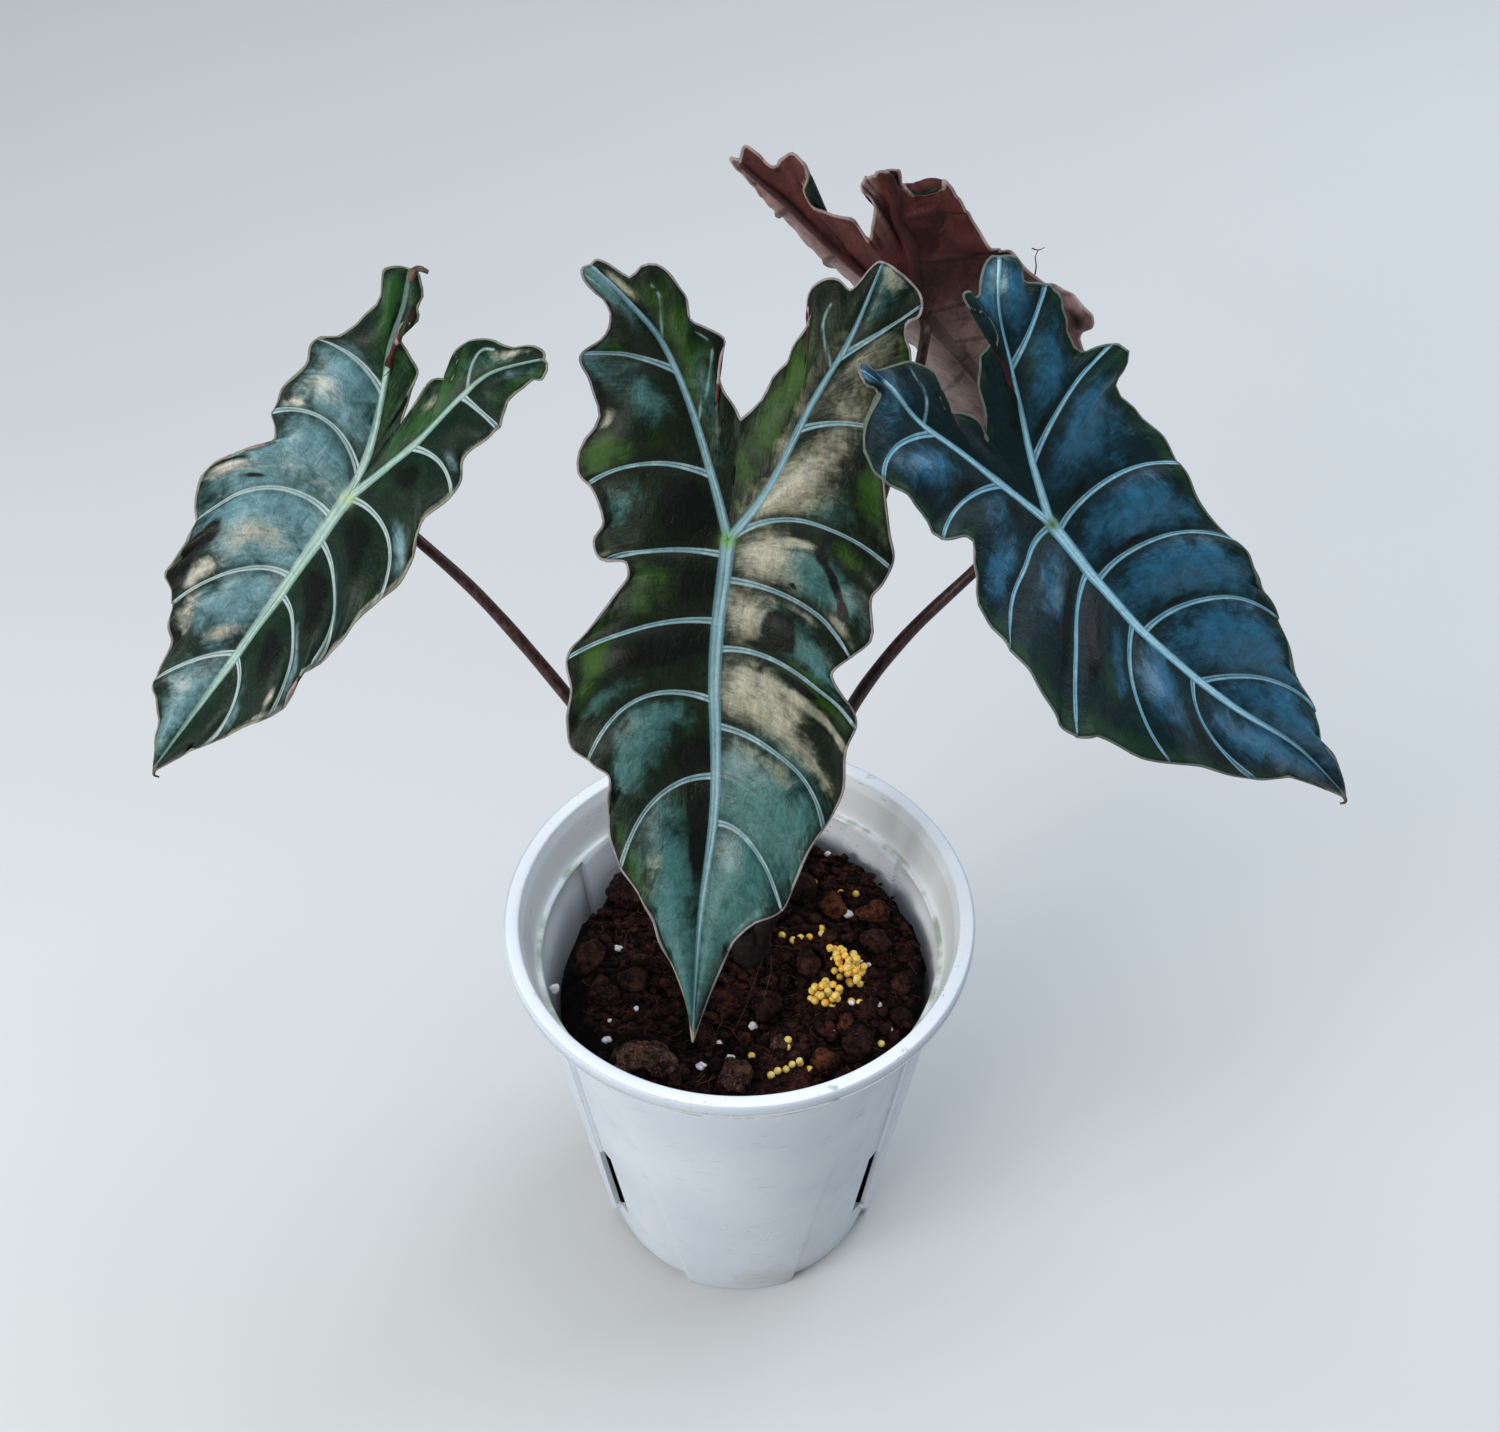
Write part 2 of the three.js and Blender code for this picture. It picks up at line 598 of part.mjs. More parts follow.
        inner: [
          [-36, 5], [-41, 6], [-44, 12], [-48, 15], [-53, 15], [-60, 11], [-65, 13], [-65, 18],
          [-67, 21], [-71, 25],
        ],
        veins: [
          [[-49, 21], [-45, 26], [-40, 29]], [[-30, 14], [-24, 21], [-12, 26]],
          [[-4, 2], [4, 11], [28, 18]], [[24, -5], [34, 4], [49, 14]], [[55, -7], [65, 1], [77, 13]],
          [[87, -4], [95, 2], [105, 8]],
        ],
      },
    ],
    sinus: [-32, 4],
  },
};

const RIB_ROWS = 12;               // steps along a rear rib
const MID_ROWS = 24;               // steps along the midrib
const OUTER_COLUMNS = 4;
const INNER_COLUMNS = 3;
const RIPPLE_FADE_ROWS = 8;        // the ripple dies away over these last rows before the tip
const SEARCH_STEPS = 400;

function smoothCurve(points) {
  const list = points.map(([u, v, w = 0]) => new THREE.Vector3(u, v, w));
  return new THREE.CatmullRomCurve3(list, false, 'centripetal');
}

// Where along a curve, 0 to 1, it comes nearest to a point
function nearestOn(curve, [u, v]) {
  let best = 0;
  let least = Infinity;
  for (let i = 0; i <= SEARCH_STEPS; i++) {
    const p = curve.getPoint(i / SEARCH_STEPS);
    const d = Math.hypot(p.x - u, p.y - v);
    if (d < least) {
      least = d;
      best = i / SEARCH_STEPS;
    }
  }
  return best;
}

// The outline's own point nearest to a place along it, if one lies within half a step, so that
// coarse rows still end on the outline's corners
function ownPoint(at, pieces, step) {
  const own = Math.round(at * pieces) / pieces;
  return Math.abs(own - at) < 0.45 * step ? own : at;
}

// The blade's middle surface for one side of the leaf, as rows of points from the spine to the
// margin. The spine runs down the rear rib to the junction and on along the midrib.
function outerRows(leaf, side) {
  const lobeTip = side.rib[side.rib.length - 1];
  const tip = leaf.midrib[leaf.midrib.length - 1];
  const rib = smoothCurve([leaf.midrib[0], ...side.rib]);
  const midrib = smoothCurve(leaf.midrib);
  const edge = smoothCurve([lobeTip, ...side.outer, tip]);
  const total = RIB_ROWS + MID_ROWS;
  const spineAt = (row) => (row < RIB_ROWS
    ? rib.getPointAt(1 - row / RIB_ROWS)
    : midrib.getPointAt((row - RIB_ROWS) / MID_ROWS));
  const keys = [{ row: 0, edge: 0, bow: [0, 0] }];
  for (const [start, middle, end] of side.veins) {
    let row = 0;
    let least = Infinity;
    for (let i = 1; i < total; i++) {
      const p = spineAt(i);
      const d = Math.hypot(p.x - start[0], p.y - start[1]);
      if (d < least && i > keys[keys.length - 1].row + 1) {
        least = d;
        row = i;
      }
    }
    const s = spineAt(row);
    const at = nearestOn(edge, end);
    const e = edge.getPoint(at);
    keys.push({ row, edge: at, bow: [middle[0] - (s.x + e.x) / 2, middle[1] - (s.y + e.y) / 2] });
  }
  keys.push({ row: total, edge: 1, bow: [0, 0] });
  const rows = [];
  for (let k = 0; k + 1 < keys.length; k++) {
    const a = keys[k];
    const b = keys[k + 1];
    for (let row = a.row; row < b.row + (k + 2 === keys.length ? 1 : 0); row++) {
      const between = (row - a.row) / (b.row - a.row);
      const s = spineAt(row);
      const step = (b.edge - a.edge) / (b.row - a.row);
      const at = mix(a.edge, b.edge, between);
      const e = edge.getPoint(between === 0 ? at : ownPoint(at, side.outer.length + 1, step));
      const bow = [mix(a.bow[0], b.bow[0], between), mix(a.bow[1], b.bow[1], between)];
      const vein = between === 0 && k > 0;
      const points = [];
      for (let c = 0; c <= OUTER_COLUMNS; c++) {
        const t = c / OUTER_COLUMNS;
        const arc = 4 * t * (1 - t);
        const u = mix(s.x, e.x, t) + bow[0] * arc;
        const v = mix(s.y, e.y, t) + bow[1] * arc;
        const bulge = QUILT * Math.sin(Math.PI * between) * Math.sin(Math.PI * Math.min(1, t * 1.1));
        const toTip = Math.min(1, (total - row) / RIPPLE_FADE_ROWS);
        const ripple = leaf.wave * t * t * Math.sin(2 * Math.PI * between) * toTip;
        const curl = mix(s.z, e.z, t * t);
        points.push({ u, v, w: bulge + ripple + curl, rib: c === 0 ? 1 : 0, vein: vein ? 1 - t : 0 });
      }
      rows.push(points);
    }
  }
  return rows;
}

function innerRows(leaf, side) {
  const lobeTip = side.rib[side.rib.length - 1];
  const rib = smoothCurve([leaf.midrib[0], ...side.rib]);
  const edge = smoothCurve([leaf.sinus, ...side.inner, lobeTip]);
  const rows = [];
  for (let row = 0; row <= RIB_ROWS; row++) {
    const s = rib.getPointAt(row / RIB_ROWS);
    const e = edge.getPoint(ownPoint(row / RIB_ROWS, side.inner.length + 1, 1 / RIB_ROWS));
    const points = [];
    for (let c = 0; c <= INNER_COLUMNS; c++) {
      const t = c / INNER_COLUMNS;
      const bulge = INNER_QUILT * QUILT * Math.sin(Math.PI * t) * Math.sin((Math.PI * row) / RIB_ROWS);
      const u = mix(s.x, e.x, t);
      const v = mix(s.y, e.y, t);
      points.push({ u, v, w: bulge + mix(s.z, e.z, t), rib: c === 0 ? 1 : 0, vein: 0 });
    }
    rows.push(points);
  }
  return rows;
}

// Turns the flat drawing into the folded, arched blade at its place on the plant
function placeOf(leaf) {
  const junction = new THREE.Vector3(...leaf.junction);
  const tip = new THREE.Vector3(...leaf.tip);
  const length = junction.distanceTo(tip);
  const along = tip.clone().sub(junction).normalize();
  const across = new THREE.Vector3(0, 0, 1).cross(along).normalize();
  const up = along.clone().cross(across);
  if (up.z < 0) {
    across.negate();
    up.negate();
  }
  const roll = degrees(leaf.roll);
  const v = across.clone().multiplyScalar(Math.cos(roll)).addScaledVector(up, Math.sin(roll));
  const w = up.clone().multiplyScalar(Math.cos(roll)).addScaledVector(across, -Math.sin(roll));
  const folds = leaf.sides.map((side) => degrees(side.fold));
  return (p) => {
    const fold = folds[p.v < 0 ? 0 : 1];
    const x = Math.max(0, Math.min(1, p.u / length));
    const arch = 4 * leaf.arch * x * (1 - x);
    const height = Math.abs(p.v) * Math.sin(fold) + p.w + arch;
    return junction.clone()
      .addScaledVector(along, p.u)
      .addScaledVector(v, p.v * Math.cos(fold))
      .addScaledVector(w, height);
  };
}

// One leaf blade as a closed solid: the middle surface, thickened alike on both faces, with the
// midrib, rear ribs and side veins standing out.
function makeBlade(leaf) {
  const place = placeOf(leaf);
  const points = [];
  const seen = new Map();
  const triangles = [];
  const indexOf = (p) => {
    const at = place(p);
    const key = [at.x, at.y, at.z].map((n) => n.toFixed(3)).join();
    if (!seen.has(key)) {
      seen.set(key, points.length);
      points.push({ at, rib: p.rib, vein: p.vein, u: p.u, normal: new THREE.Vector3() });
    }
    const point = points[seen.get(key)];
    point.rib = Math.max(point.rib, p.rib);
    point.vein = Math.max(point.vein, p.vein);
    return seen.get(key);
  };
  const addPatch = (rows, flip) => {
    const ids = rows.map((row) => row.map(indexOf));
    const add = (a, b, c) => {
      if (a === b || b === c || a === c) return;
      triangles.push(flip ? [a, c, b] : [a, b, c]);
    };
    for (let r = 0; r + 1 < ids.length; r++) {
      for (let c = 0; c + 1 < ids[r].length; c++) {
        add(ids[r][c], ids[r + 1][c], ids[r + 1][c + 1]);
        add(ids[r][c], ids[r + 1][c + 1], ids[r][c + 1]);
      }
    }
  };
  leaf.sides.forEach((side, k) => {
    addPatch(outerRows(leaf, side), k === 0);
    addPatch(innerRows(leaf, side), k === 0);
  });
  for (const [a, b, c] of triangles) {
    const ab = points[b].at.clone().sub(points[a].at);
    const ac = points[c].at.clone().sub(points[a].at);
    const normal = ab.cross(ac);
    for (const i of [a, b, c]) points[i].normal.add(normal);
  }
  const length = new THREE.Vector3(...leaf.junction).distanceTo(new THREE.Vector3(...leaf.tip));
  const positions = [];
  const skin = (sign) => points.forEach((p) => {
    const fade = 1 - RIB_FADE * Math.min(1, Math.abs(p.u) / length);
    const proud = sign > 0 ? RIB_PROUD : RIB_DEPTH;
    const vein = sign > 0 ? RIB_PROUD : VEIN_DEPTH;
    const height = BLADE / 2 + p.rib * proud * fade + (1 - p.rib) * p.vein * vein;
    const at = p.at.clone().addScaledVector(p.normal.clone().normalize(), sign * height);
    positions.push(at.x, at.y, at.z);
  });
  skin(1);
  skin(-1);
  const count = points.length;
  const faces = [];
  const edges = new Map();
  for (const [a, b, c] of triangles) {
    faces.push(a, b, c, a + count, c + count, b + count);
    for (const [p, q] of [[a, b], [b, c], [c, a]]) {
      const back = `${q},${p}`;
      if (edges.has(back)) edges.delete(back);
      else edges.set(`${p},${q}`, [p, q]);
    }
  }
  for (const [p, q] of edges.values()) faces.push(p, p + count, q + count, p, q + count, q);
  return geometryOf(positions, faces);
}

// Stalks: each runs from a sheath on the crown to just under its leaf's junction
const STALKS = {
  front: [[3, 8, 146], [5, 20, 195], [4, 30, 240], [1, 33, 268]],
  left: [[-4, 5, 145], [-18, 8, 172], [-36, 11, 205], [-50, 15, 230], [-74, 22, 264.5], [-91, 28, 281],
    [-100, 34, 285.5]],
  right: [[10, 5, 145], [17, 7, 172], [25, 9, 203], [34, 12, 231], [48, 16, 254], [66, 20, 275],
    [75, 25.5, 281.5]],
  back: [[7, 11, 145], [14, 22, 180], [28, 40, 225], [40, 54, 265], [48, 60, 300], [51.5, 64, 314]],
};

function stalkRoute(name) {
  const place = placeOf(LEAVES[name]);
  const under = (depth) => {
    const p = place({ u: -0.5, v: 0, w: -depth });
    return [p.x, p.y, p.z];
  };
  const seat = BLADE / 2 + RIB_DEPTH + CLEARANCE;
  return [...STALKS[name], under(seat + STALK_NECK), under(seat)];
}

function makeCrown() {
  const [x, y] = CROWN_PLACE;
  const ring = (z, radius) => {
    const points = [];
    for (let i = 0; i < CROWN_SIDES; i++) {
      const a = (2 * Math.PI * i) / CROWN_SIDES;
      const r = radius * (1 + CROWN_UNEVEN * Math.sin(3 * a + z));
      points.push([x + r * Math.cos(a), y + r * Math.sin(a), z]);
    }
    return points;
  };
  const bottom = SOIL_TOP - CROWN_HOLE_DEPTH + CLEARANCE;
  let crown = solidOf(loft([
    ring(bottom, 0.9 * CROWN_RADIUS),
    ring(SOIL_TOP, 0.93 * CROWN_RADIUS),
    ring(CROWN_SHOULDER, 0.9 * CROWN_RADIUS),
    ring(CROWN_TOP, 0.6 * CROWN_RADIUS),
  ]));
  for (const route of Object.values(STALKS)) {
    const top = new THREE.Vector3(...route[0]);
    const heading = new THREE.Vector3(...route[1]).sub(top).normalize();
    const end = top.clone().addScaledVector(heading, -CLEARANCE - 0.15);
    const neck = top.clone().addScaledVector(heading, -SHEATH_LENGTH);
    const foot = [mix(x, neck.x, 0.4), mix(y, neck.y, 0.4), SOIL_TOP + 2];
    const line = [foot, neck.toArray(), end.toArray()];
    const sheath = makeBar(line, SHEATH_RADIUS_LOW, SHEATH_RADIUS_HIGH, SHEATH_STEPS, SHEATH_SIDES);
    crown = crown.add(solidOf(sheath));
  }
  return geometryFrom(crown);
}

function makeStalk(name) {
  return makeBar(stalkRoute(name), STALK_RADIUS_LOW, STALK_RADIUS_HIGH, STALK_STEPS, STALK_SIDES);
}

// The plant in its pot
const group = new THREE.Group();

function addPiece(name, geometry, look) {
  const mesh = new THREE.Mesh(geometry, look);
  mesh.name = name;
  group.add(mesh);
  return mesh;
}

const plastic = material(0xd7dee2, 0.4);
const earth = material(0x2b1a14, 0.95);
const stem = material(0x2a1a1c, 0.5);
const leafGreen = material(0x1d3a34, 0.3);
const prillYellow = material(0xe8b93c, 0.45);

addPiece('pot', makePot(), plastic);
addPiece('soil', makeSoil(), earth);
addPiece('crown', makeCrown(), stem);
for (const name of Object.keys(LEAVES)) {
  addPiece(`stalk_${name}`, makeStalk(name), stem);
  addPiece(`leaf_${name}`, makeBlade(LEAVES[name]), leafGreen);
}
for (const [name, spec] of Object.entries(PRILLS)) {
  const prills = addPiece(name, makePrills(spec), prillYellow);
  prills.position.set(spec.place[0], spec.place[1], PRILL_SEAT + CLEARANCE);
}

export default group;
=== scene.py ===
# A potted alocasia: four arrow-shaped leaves on dark stalks, in a white nursery pot of dark soil.
# Sizes are in metres, or in mm where a comment says so, and the viewer stands on the -Y side.

import bmesh
import bpy
import numpy as np
from mathutils import Matrix, Vector


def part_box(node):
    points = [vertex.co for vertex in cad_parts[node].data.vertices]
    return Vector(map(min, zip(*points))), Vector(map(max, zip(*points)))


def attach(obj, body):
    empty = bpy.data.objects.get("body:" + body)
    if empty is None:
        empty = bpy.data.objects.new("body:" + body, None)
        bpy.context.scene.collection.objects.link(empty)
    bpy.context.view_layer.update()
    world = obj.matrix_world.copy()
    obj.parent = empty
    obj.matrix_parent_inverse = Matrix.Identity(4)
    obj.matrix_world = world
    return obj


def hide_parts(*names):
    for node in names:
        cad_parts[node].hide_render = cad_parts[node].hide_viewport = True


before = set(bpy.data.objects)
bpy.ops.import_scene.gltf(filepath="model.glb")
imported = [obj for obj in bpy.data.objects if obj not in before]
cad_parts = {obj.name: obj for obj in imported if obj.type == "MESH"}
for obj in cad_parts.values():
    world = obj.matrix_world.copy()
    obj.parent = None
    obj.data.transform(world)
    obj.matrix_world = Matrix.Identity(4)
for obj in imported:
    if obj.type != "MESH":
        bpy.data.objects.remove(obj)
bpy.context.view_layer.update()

# THE POT
# One moulded piece of white polypropylene with a flat lip, a collar and a thin ledge inside. Its wall
# has a front and a back panel that taper down to the feet, two side panels with a drain slot beside
# each edge, and wedges between them that lie back a little.

POT_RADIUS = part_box("pot")[1].x
POT_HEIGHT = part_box("pot")[1].z
LIP_WIDTH = 0.005
LIP_DEPTH = 0.005
BODY_HEIGHT = POT_HEIGHT - 0.0095
BODY_TOP_RADIUS = 0.068
BODY_FOOT_RADIUS = 0.049
WALL = 0.002
LEDGE_HEIGHT = POT_HEIGHT - 0.0165
LEDGE_WIDTH = 0.0018
LEDGE_INSET = 0.0014
COLLAR_STEP = 0.0022               # how far the collar stands out past the wall
COLLAR_ROUND, LIP_ROUND, RIM_ROUND = 0.0008, 0.0009, 0.0011
FLOOR_UNDERSIDE = 0.0032
FLOOR_THICKNESS = 0.0024
FLOOR_TOP = FLOOR_UNDERSIDE + FLOOR_THICKNESS
PAD_RADIUS = 0.012
PAD_SLOPE = 0.002
FOOT_WIDTH = 0.004
FRONT_PANEL_HALF = (21, 35)        # degrees at the foot and at the top
SIDE_PANEL_HALF = 33.5
SOFT_EDGE = 2.6                    # degrees that a front panel's edge takes to lie back
SHARP_EDGE = 0.7
PANEL_LINES, EDGE_LINES, WEDGE_LINES = 56, 5, 18     # upright lines of points on each
FRONT_RECESS = 0.0008
SIDE_RECESS = 0.0017
RECESS_FADE = 0.0075               # height over which the recesses run out below the collar
WEDGE_FOOT = 0.009                 # height over which the wedges come down from their raised feet
SLOT_LOW, SLOT_HIGH = 0.024, 0.060
SLOT_DEGREES = 3.4
SLOT_FLARE = (2.2, 1.1)            # how much wider and taller a slot is well inside the wall
SLOT_CUT, DRAIN_CUT = 0.014, 0.02  # lengths of the tools that cut the openings
DRAIN_COUNT = 6
DRAIN_RADIUS = 0.004
DRAIN_RING = 0.026
SHARP_FROM = 40                    # degrees between faces from which an edge shows as sharp
STAIN_START = (0.128, 0.139)       # heights over which the collar's grey stain sets in
STAIN_END = (0.1462, 0.1445)       # and over which it fades, from the top down


def mix(a, b, t):
    return a + (b - a) * t


def smooth(t):
    t = np.clip(t, 0, 1)
    return t * t * (3 - 2 * t)


def ink(red, green, blue):
    """A colour as it shows on a screen, 0 to 255, as the shader's own numbers."""
    return tuple(((c / 255 + 0.055) / 1.055) ** 2.4 for c in (red, green, blue))


def grid_faces(rows, columns, closed=False, start=0):
    """Quads between the points of a grid that is stored row by row."""
    across = columns if closed else columns - 1
    r, c = np.meshgrid(np.arange(rows - 1), np.arange(across), indexing="ij")
    a = start + r * columns + c
    b = start + r * columns + (c + 1) % columns
    return np.stack([a, b, b + columns, a + columns], -1).reshape(-1, 4).tolist()


def tube_faces(rows, columns):
    """Quads round a tube of points that is stored ring by ring, and a cap at each end."""
    faces = grid_faces(rows, columns, closed=True)
    faces.append(list(range(columns))[::-1])
    faces.append([(rows - 1) * columns + i for i in range(columns)])
    return faces


def mesh_piece(name, points, faces, look):
    """A smooth piece from points in metres."""
    mesh = bpy.data.meshes.new(name)
    mesh.from_pydata(np.asarray(points).tolist(), [], faces)
    mesh.validate()
    mesh.shade_smooth()
    mesh.materials.append(look)
    piece = bpy.data.objects.new(name, mesh)
    bpy.context.scene.collection.objects.link(piece)
    return piece


def settle(piece, slot, *nodes):
    """The piece rides with the plant and stands for the plain solids named."""
    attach(piece, "root")
    if nodes:
        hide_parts(*nodes)


def finish(name, colour, roughness, **values):
    """A plain finish. More of the shader's values go by their names, with _ for each space."""
    look = bpy.data.materials.new(name)
    look.use_nodes = True
    shader = look.node_tree.nodes["Principled BSDF"]
    shader.inputs["Base Color"].default_value = (*colour, 1)
    shader.inputs["Roughness"].default_value = roughness
    for socket, value in values.items():
        shader.inputs[socket.replace("_", " ")].default_value = value
    return look


def add(look, kind, inputs=None, **settings):
    """A shader node. Its inputs are plain values or other nodes' outputs."""
    node = look.node_tree.nodes.new("ShaderNode" + kind)
    for key, value in settings.items():
        setattr(node, key, value)
    for key, value in (inputs or {}).items():
        if isinstance(value, bpy.types.NodeSocket):
            look.node_tree.links.new(value, node.inputs[key])
        else:
            node.inputs[key].default_value = value
    return node


def feed(look, socket, value):
    """Leads a node's output to one of the shader's sockets."""
    shader = look.node_tree.nodes["Principled BSDF"]
    look.node_tree.links.new(value, shader.inputs[socket])


def maths(look, operation, a, b=0.0):
    return add(look, "Math", {0: a, 1: b}, operation=operation).outputs[0]


def times(look, a, b):
    return maths(look, "MULTIPLY", a, b)


def span(look, value, low, high, to_low=0.0, to_high=1.0):
    """The value's place between low and high, smoothly, as a number from to_low to to_high."""
    if low > high:
        low, high, to_low, to_high = high, low, to_high, to_low
    inputs = {"Value": value, 1: low, 2: high, 3: to_low, 4: to_high}
    return add(look, "MapRange", inputs, interpolation_type="SMOOTHSTEP").outputs[0]


def layer(look, share, under, over):
    """One colour over another, by a share of 0 to 1."""
    under, over = [(*c, 1) if isinstance(c, tuple) else c for c in (under, over)]
    return add(look, "Mix", {0: share, 6: under, 7: over}, data_type="RGBA").outputs[2]


def place(look, scale=(1, 1, 1)):
    """The point on the surface, stretched."""
    where = add(look, "TexCoord").outputs["Object"]
    return add(look, "Mapping", {"Vector": where, "Scale": scale}).outputs[0]


def noise(look, scale, detail=2.0, where=None, roughness=0.5):
    """Cloudy ups and downs, 0 to 1. A larger scale makes them finer."""
    inputs = {"Scale": scale, "Detail": detail, "Roughness": roughness}
    inputs["Vector"] = where if where is not None else place(look)
    return add(look, "TexNoise", inputs).outputs[0]


def specks(look, scale, reach):
    """Small round spots scattered over the surface, 1 inside a spot."""
    far = add(look, "TexVoronoi", {"Vector": place(look), "Scale": scale}).outputs[0]
    return span(look, far, reach, reach * 0.6)


def bump(look, height, distance, strength=1.0, under=None):
    """Fine relief from a height of 0 to 1, over another bump where one is given."""
    inputs = {"Height": height, "Distance": distance, "Strength": strength}
    if under is not None:
        inputs["Normal"] = under
    return add(look, "Bump", inputs).outputs[0]


def body_radius(z):
    return mix(BODY_FOOT_RADIUS, BODY_TOP_RADIUS, z / BODY_HEIGHT)


def wall_lines(z):
    """The wall's upright lines at heights z: their angles, how far each lies back, and whether it is
    on a wedge, 0 to 1. They follow the panels' edges."""
    front = mix(*FRONT_PANEL_HALF, z / BODY_HEIGHT)
    side = mix(FRONT_PANEL_HALF[0], SIDE_PANEL_HALF, smooth(z / SLOT_LOW))
    angles, recesses, wedges = [], [], []

    def stretch(start, end, count, recess, wedge):
        for t in np.arange(count) / count:
            angles.append(mix(start, end, t))
            recesses.append(mix(*recess, smooth(t)))
            wedges.append(mix(*wedge, smooth(t)))

    for quarter in range(4):
        middle = -90 + 90 * quarter
        kinds = [(front, SOFT_EDGE, FRONT_RECESS), (side, SHARP_EDGE, SIDE_RECESS)]
        half, edge, depth = kinds[quarter % 2]
        next_half, next_edge, next_depth = kinds[1 - quarter % 2]
        wedge_from = middle + half + edge
        wedge_to = middle + 90 - next_half - next_edge
        stretch(middle - half, middle + half, PANEL_LINES, (0, 0), (0, 0))
        stretch(middle + half, wedge_from, EDGE_LINES, (0, depth), (0, 1))
        stretch(wedge_from, wedge_to, WEDGE_LINES, (depth, next_depth), (1, 1))
        stretch(wedge_to, middle + 90 - next_half, EDGE_LINES, (next_depth, 0), (1, 0))
    return np.radians(np.array(angles)).T, np.array(recesses), np.array(wedges)


def wall_rings(rows):
    """Rings of the wall. Each row is (height, radius, share of the recess, lift), where the lift
    keeps the wedges off the ground."""
    heights = np.array([row[0] for row in rows])
    angles, recesses, wedges = wall_lines(np.clip(heights, 0, BODY_HEIGHT))
    rings = []
    for (z, radius, recess_share, lift), angle in zip(rows, angles):
        r = np.maximum(radius - recesses * recess_share, 0.0001)
        rings.append(np.stack([r * np.cos(angle), r * np.sin(angle), z + lift * wedges], -1))
    return np.concatenate(rings), angles.shape[1]


def rounded(z, radius, size, turns, outward, upward):
    """Rows round a quarter turn, from the radius to the height z, or back from z where turns is -1."""
    rows = []
    for turn in np.linspace(0, np.pi / 2, 5)[::turns]:
        height = z - upward * size * (1 - np.sin(turn))
        rows.append((height, radius - outward * size * (1 - np.cos(turn)), 0, 0))
    return rows


def pot_profile():
    """Rows for wall_rings: under the floor, up the outside, over the lip, down the inside, and in."""
    lip_low = POT_HEIGHT - LIP_DEPTH
    mouth = POT_RADIUS - LIP_WIDTH
    collar = BODY_TOP_RADIUS + COLLAR_STEP
    ledge = body_radius(LEDGE_HEIGHT) - LEDGE_INSET
    rows = [
        (0, 0, 0, 0),
        (0, PAD_RADIUS - 0.0003, 0, 0),
        (0.0003, PAD_RADIUS, 0, 0),
        (FLOOR_UNDERSIDE, PAD_RADIUS + PAD_SLOPE, 0, 0),
        (FLOOR_UNDERSIDE, BODY_FOOT_RADIUS - FOOT_WIDTH - 0.001, 0, 0),
        (0.0002, BODY_FOOT_RADIUS - FOOT_WIDTH, 0, FLOOR_UNDERSIDE - 0.0003),
        (0, BODY_FOOT_RADIUS - FOOT_WIDTH + 0.0005, 0, FLOOR_UNDERSIDE),
        (0, BODY_FOOT_RADIUS - 0.0012, 1, FLOOR_UNDERSIDE),
        (0.0004, BODY_FOOT_RADIUS - 0.0003, 1, FLOOR_UNDERSIDE),
    ]
    for z in (0.0015, 0.004, 0.008):
        rows.append((z, body_radius(z), 1, FLOOR_UNDERSIDE * (1 - z / WEDGE_FOOT)))
    for z in np.linspace(0.012, BODY_HEIGHT - RECESS_FADE, 26):
        rows.append((z, body_radius(z), 1, 0))
    for z in np.linspace(BODY_HEIGHT - 0.0065, BODY_HEIGHT - 0.0006, 5):
        rows.append((z, body_radius(z), (BODY_HEIGHT - z) / RECESS_FADE, 0))
    rows += rounded(BODY_HEIGHT, collar, COLLAR_ROUND, -1, 1, -1)[::-1]
    rows += [(lip_low - 0.0006, POT_RADIUS - 0.0026, 0, 0), (lip_low, POT_RADIUS - 0.0018, 0, 0)]
    rows += rounded(lip_low, POT_RADIUS, LIP_ROUND, 1, 1, -1)[1:]
    rows += rounded(POT_HEIGHT, POT_RADIUS, RIM_ROUND, 1, 1, 1)
    rows += rounded(POT_HEIGHT, mouth, LIP_ROUND, -1, -1, 1)
    for t in np.linspace(0.15, 0.95, 5):
        rows.append((mix(POT_HEIGHT, LEDGE_HEIGHT, t), mix(mouth, ledge, t), 0, 0))
    rows += [
        (LEDGE_HEIGHT + 0.0002, ledge - 0.0002, 0, 0),
        (LEDGE_HEIGHT, ledge - 0.0005, 0, 0),
        (LEDGE_HEIGHT - 0.0001, ledge - LEDGE_WIDTH + 0.0004, 0, 0),
        (LEDGE_HEIGHT - 0.0006, ledge - LEDGE_WIDTH, 0, 0),
        (LEDGE_HEIGHT - 0.002, body_radius(LEDGE_HEIGHT) - WALL - 0.0009, 0.6, 0),
    ]
    for z in np.linspace(LEDGE_HEIGHT - 0.003, FLOOR_TOP + 0.001, 24):
        rows.append((z, body_radius(z) - WALL, 1, 0))
    rows += [
        (FLOOR_TOP, body_radius(FLOOR_TOP) - WALL - 0.001, 1, 0),
        (FLOOR_TOP, PAD_RADIUS + 0.0005, 0, 0),
        (FLOOR_THICKNESS, PAD_RADIUS - 0.0015, 0, 0),
        (FLOOR_THICKNESS, 0, 0, 0),
    ]
    return rows


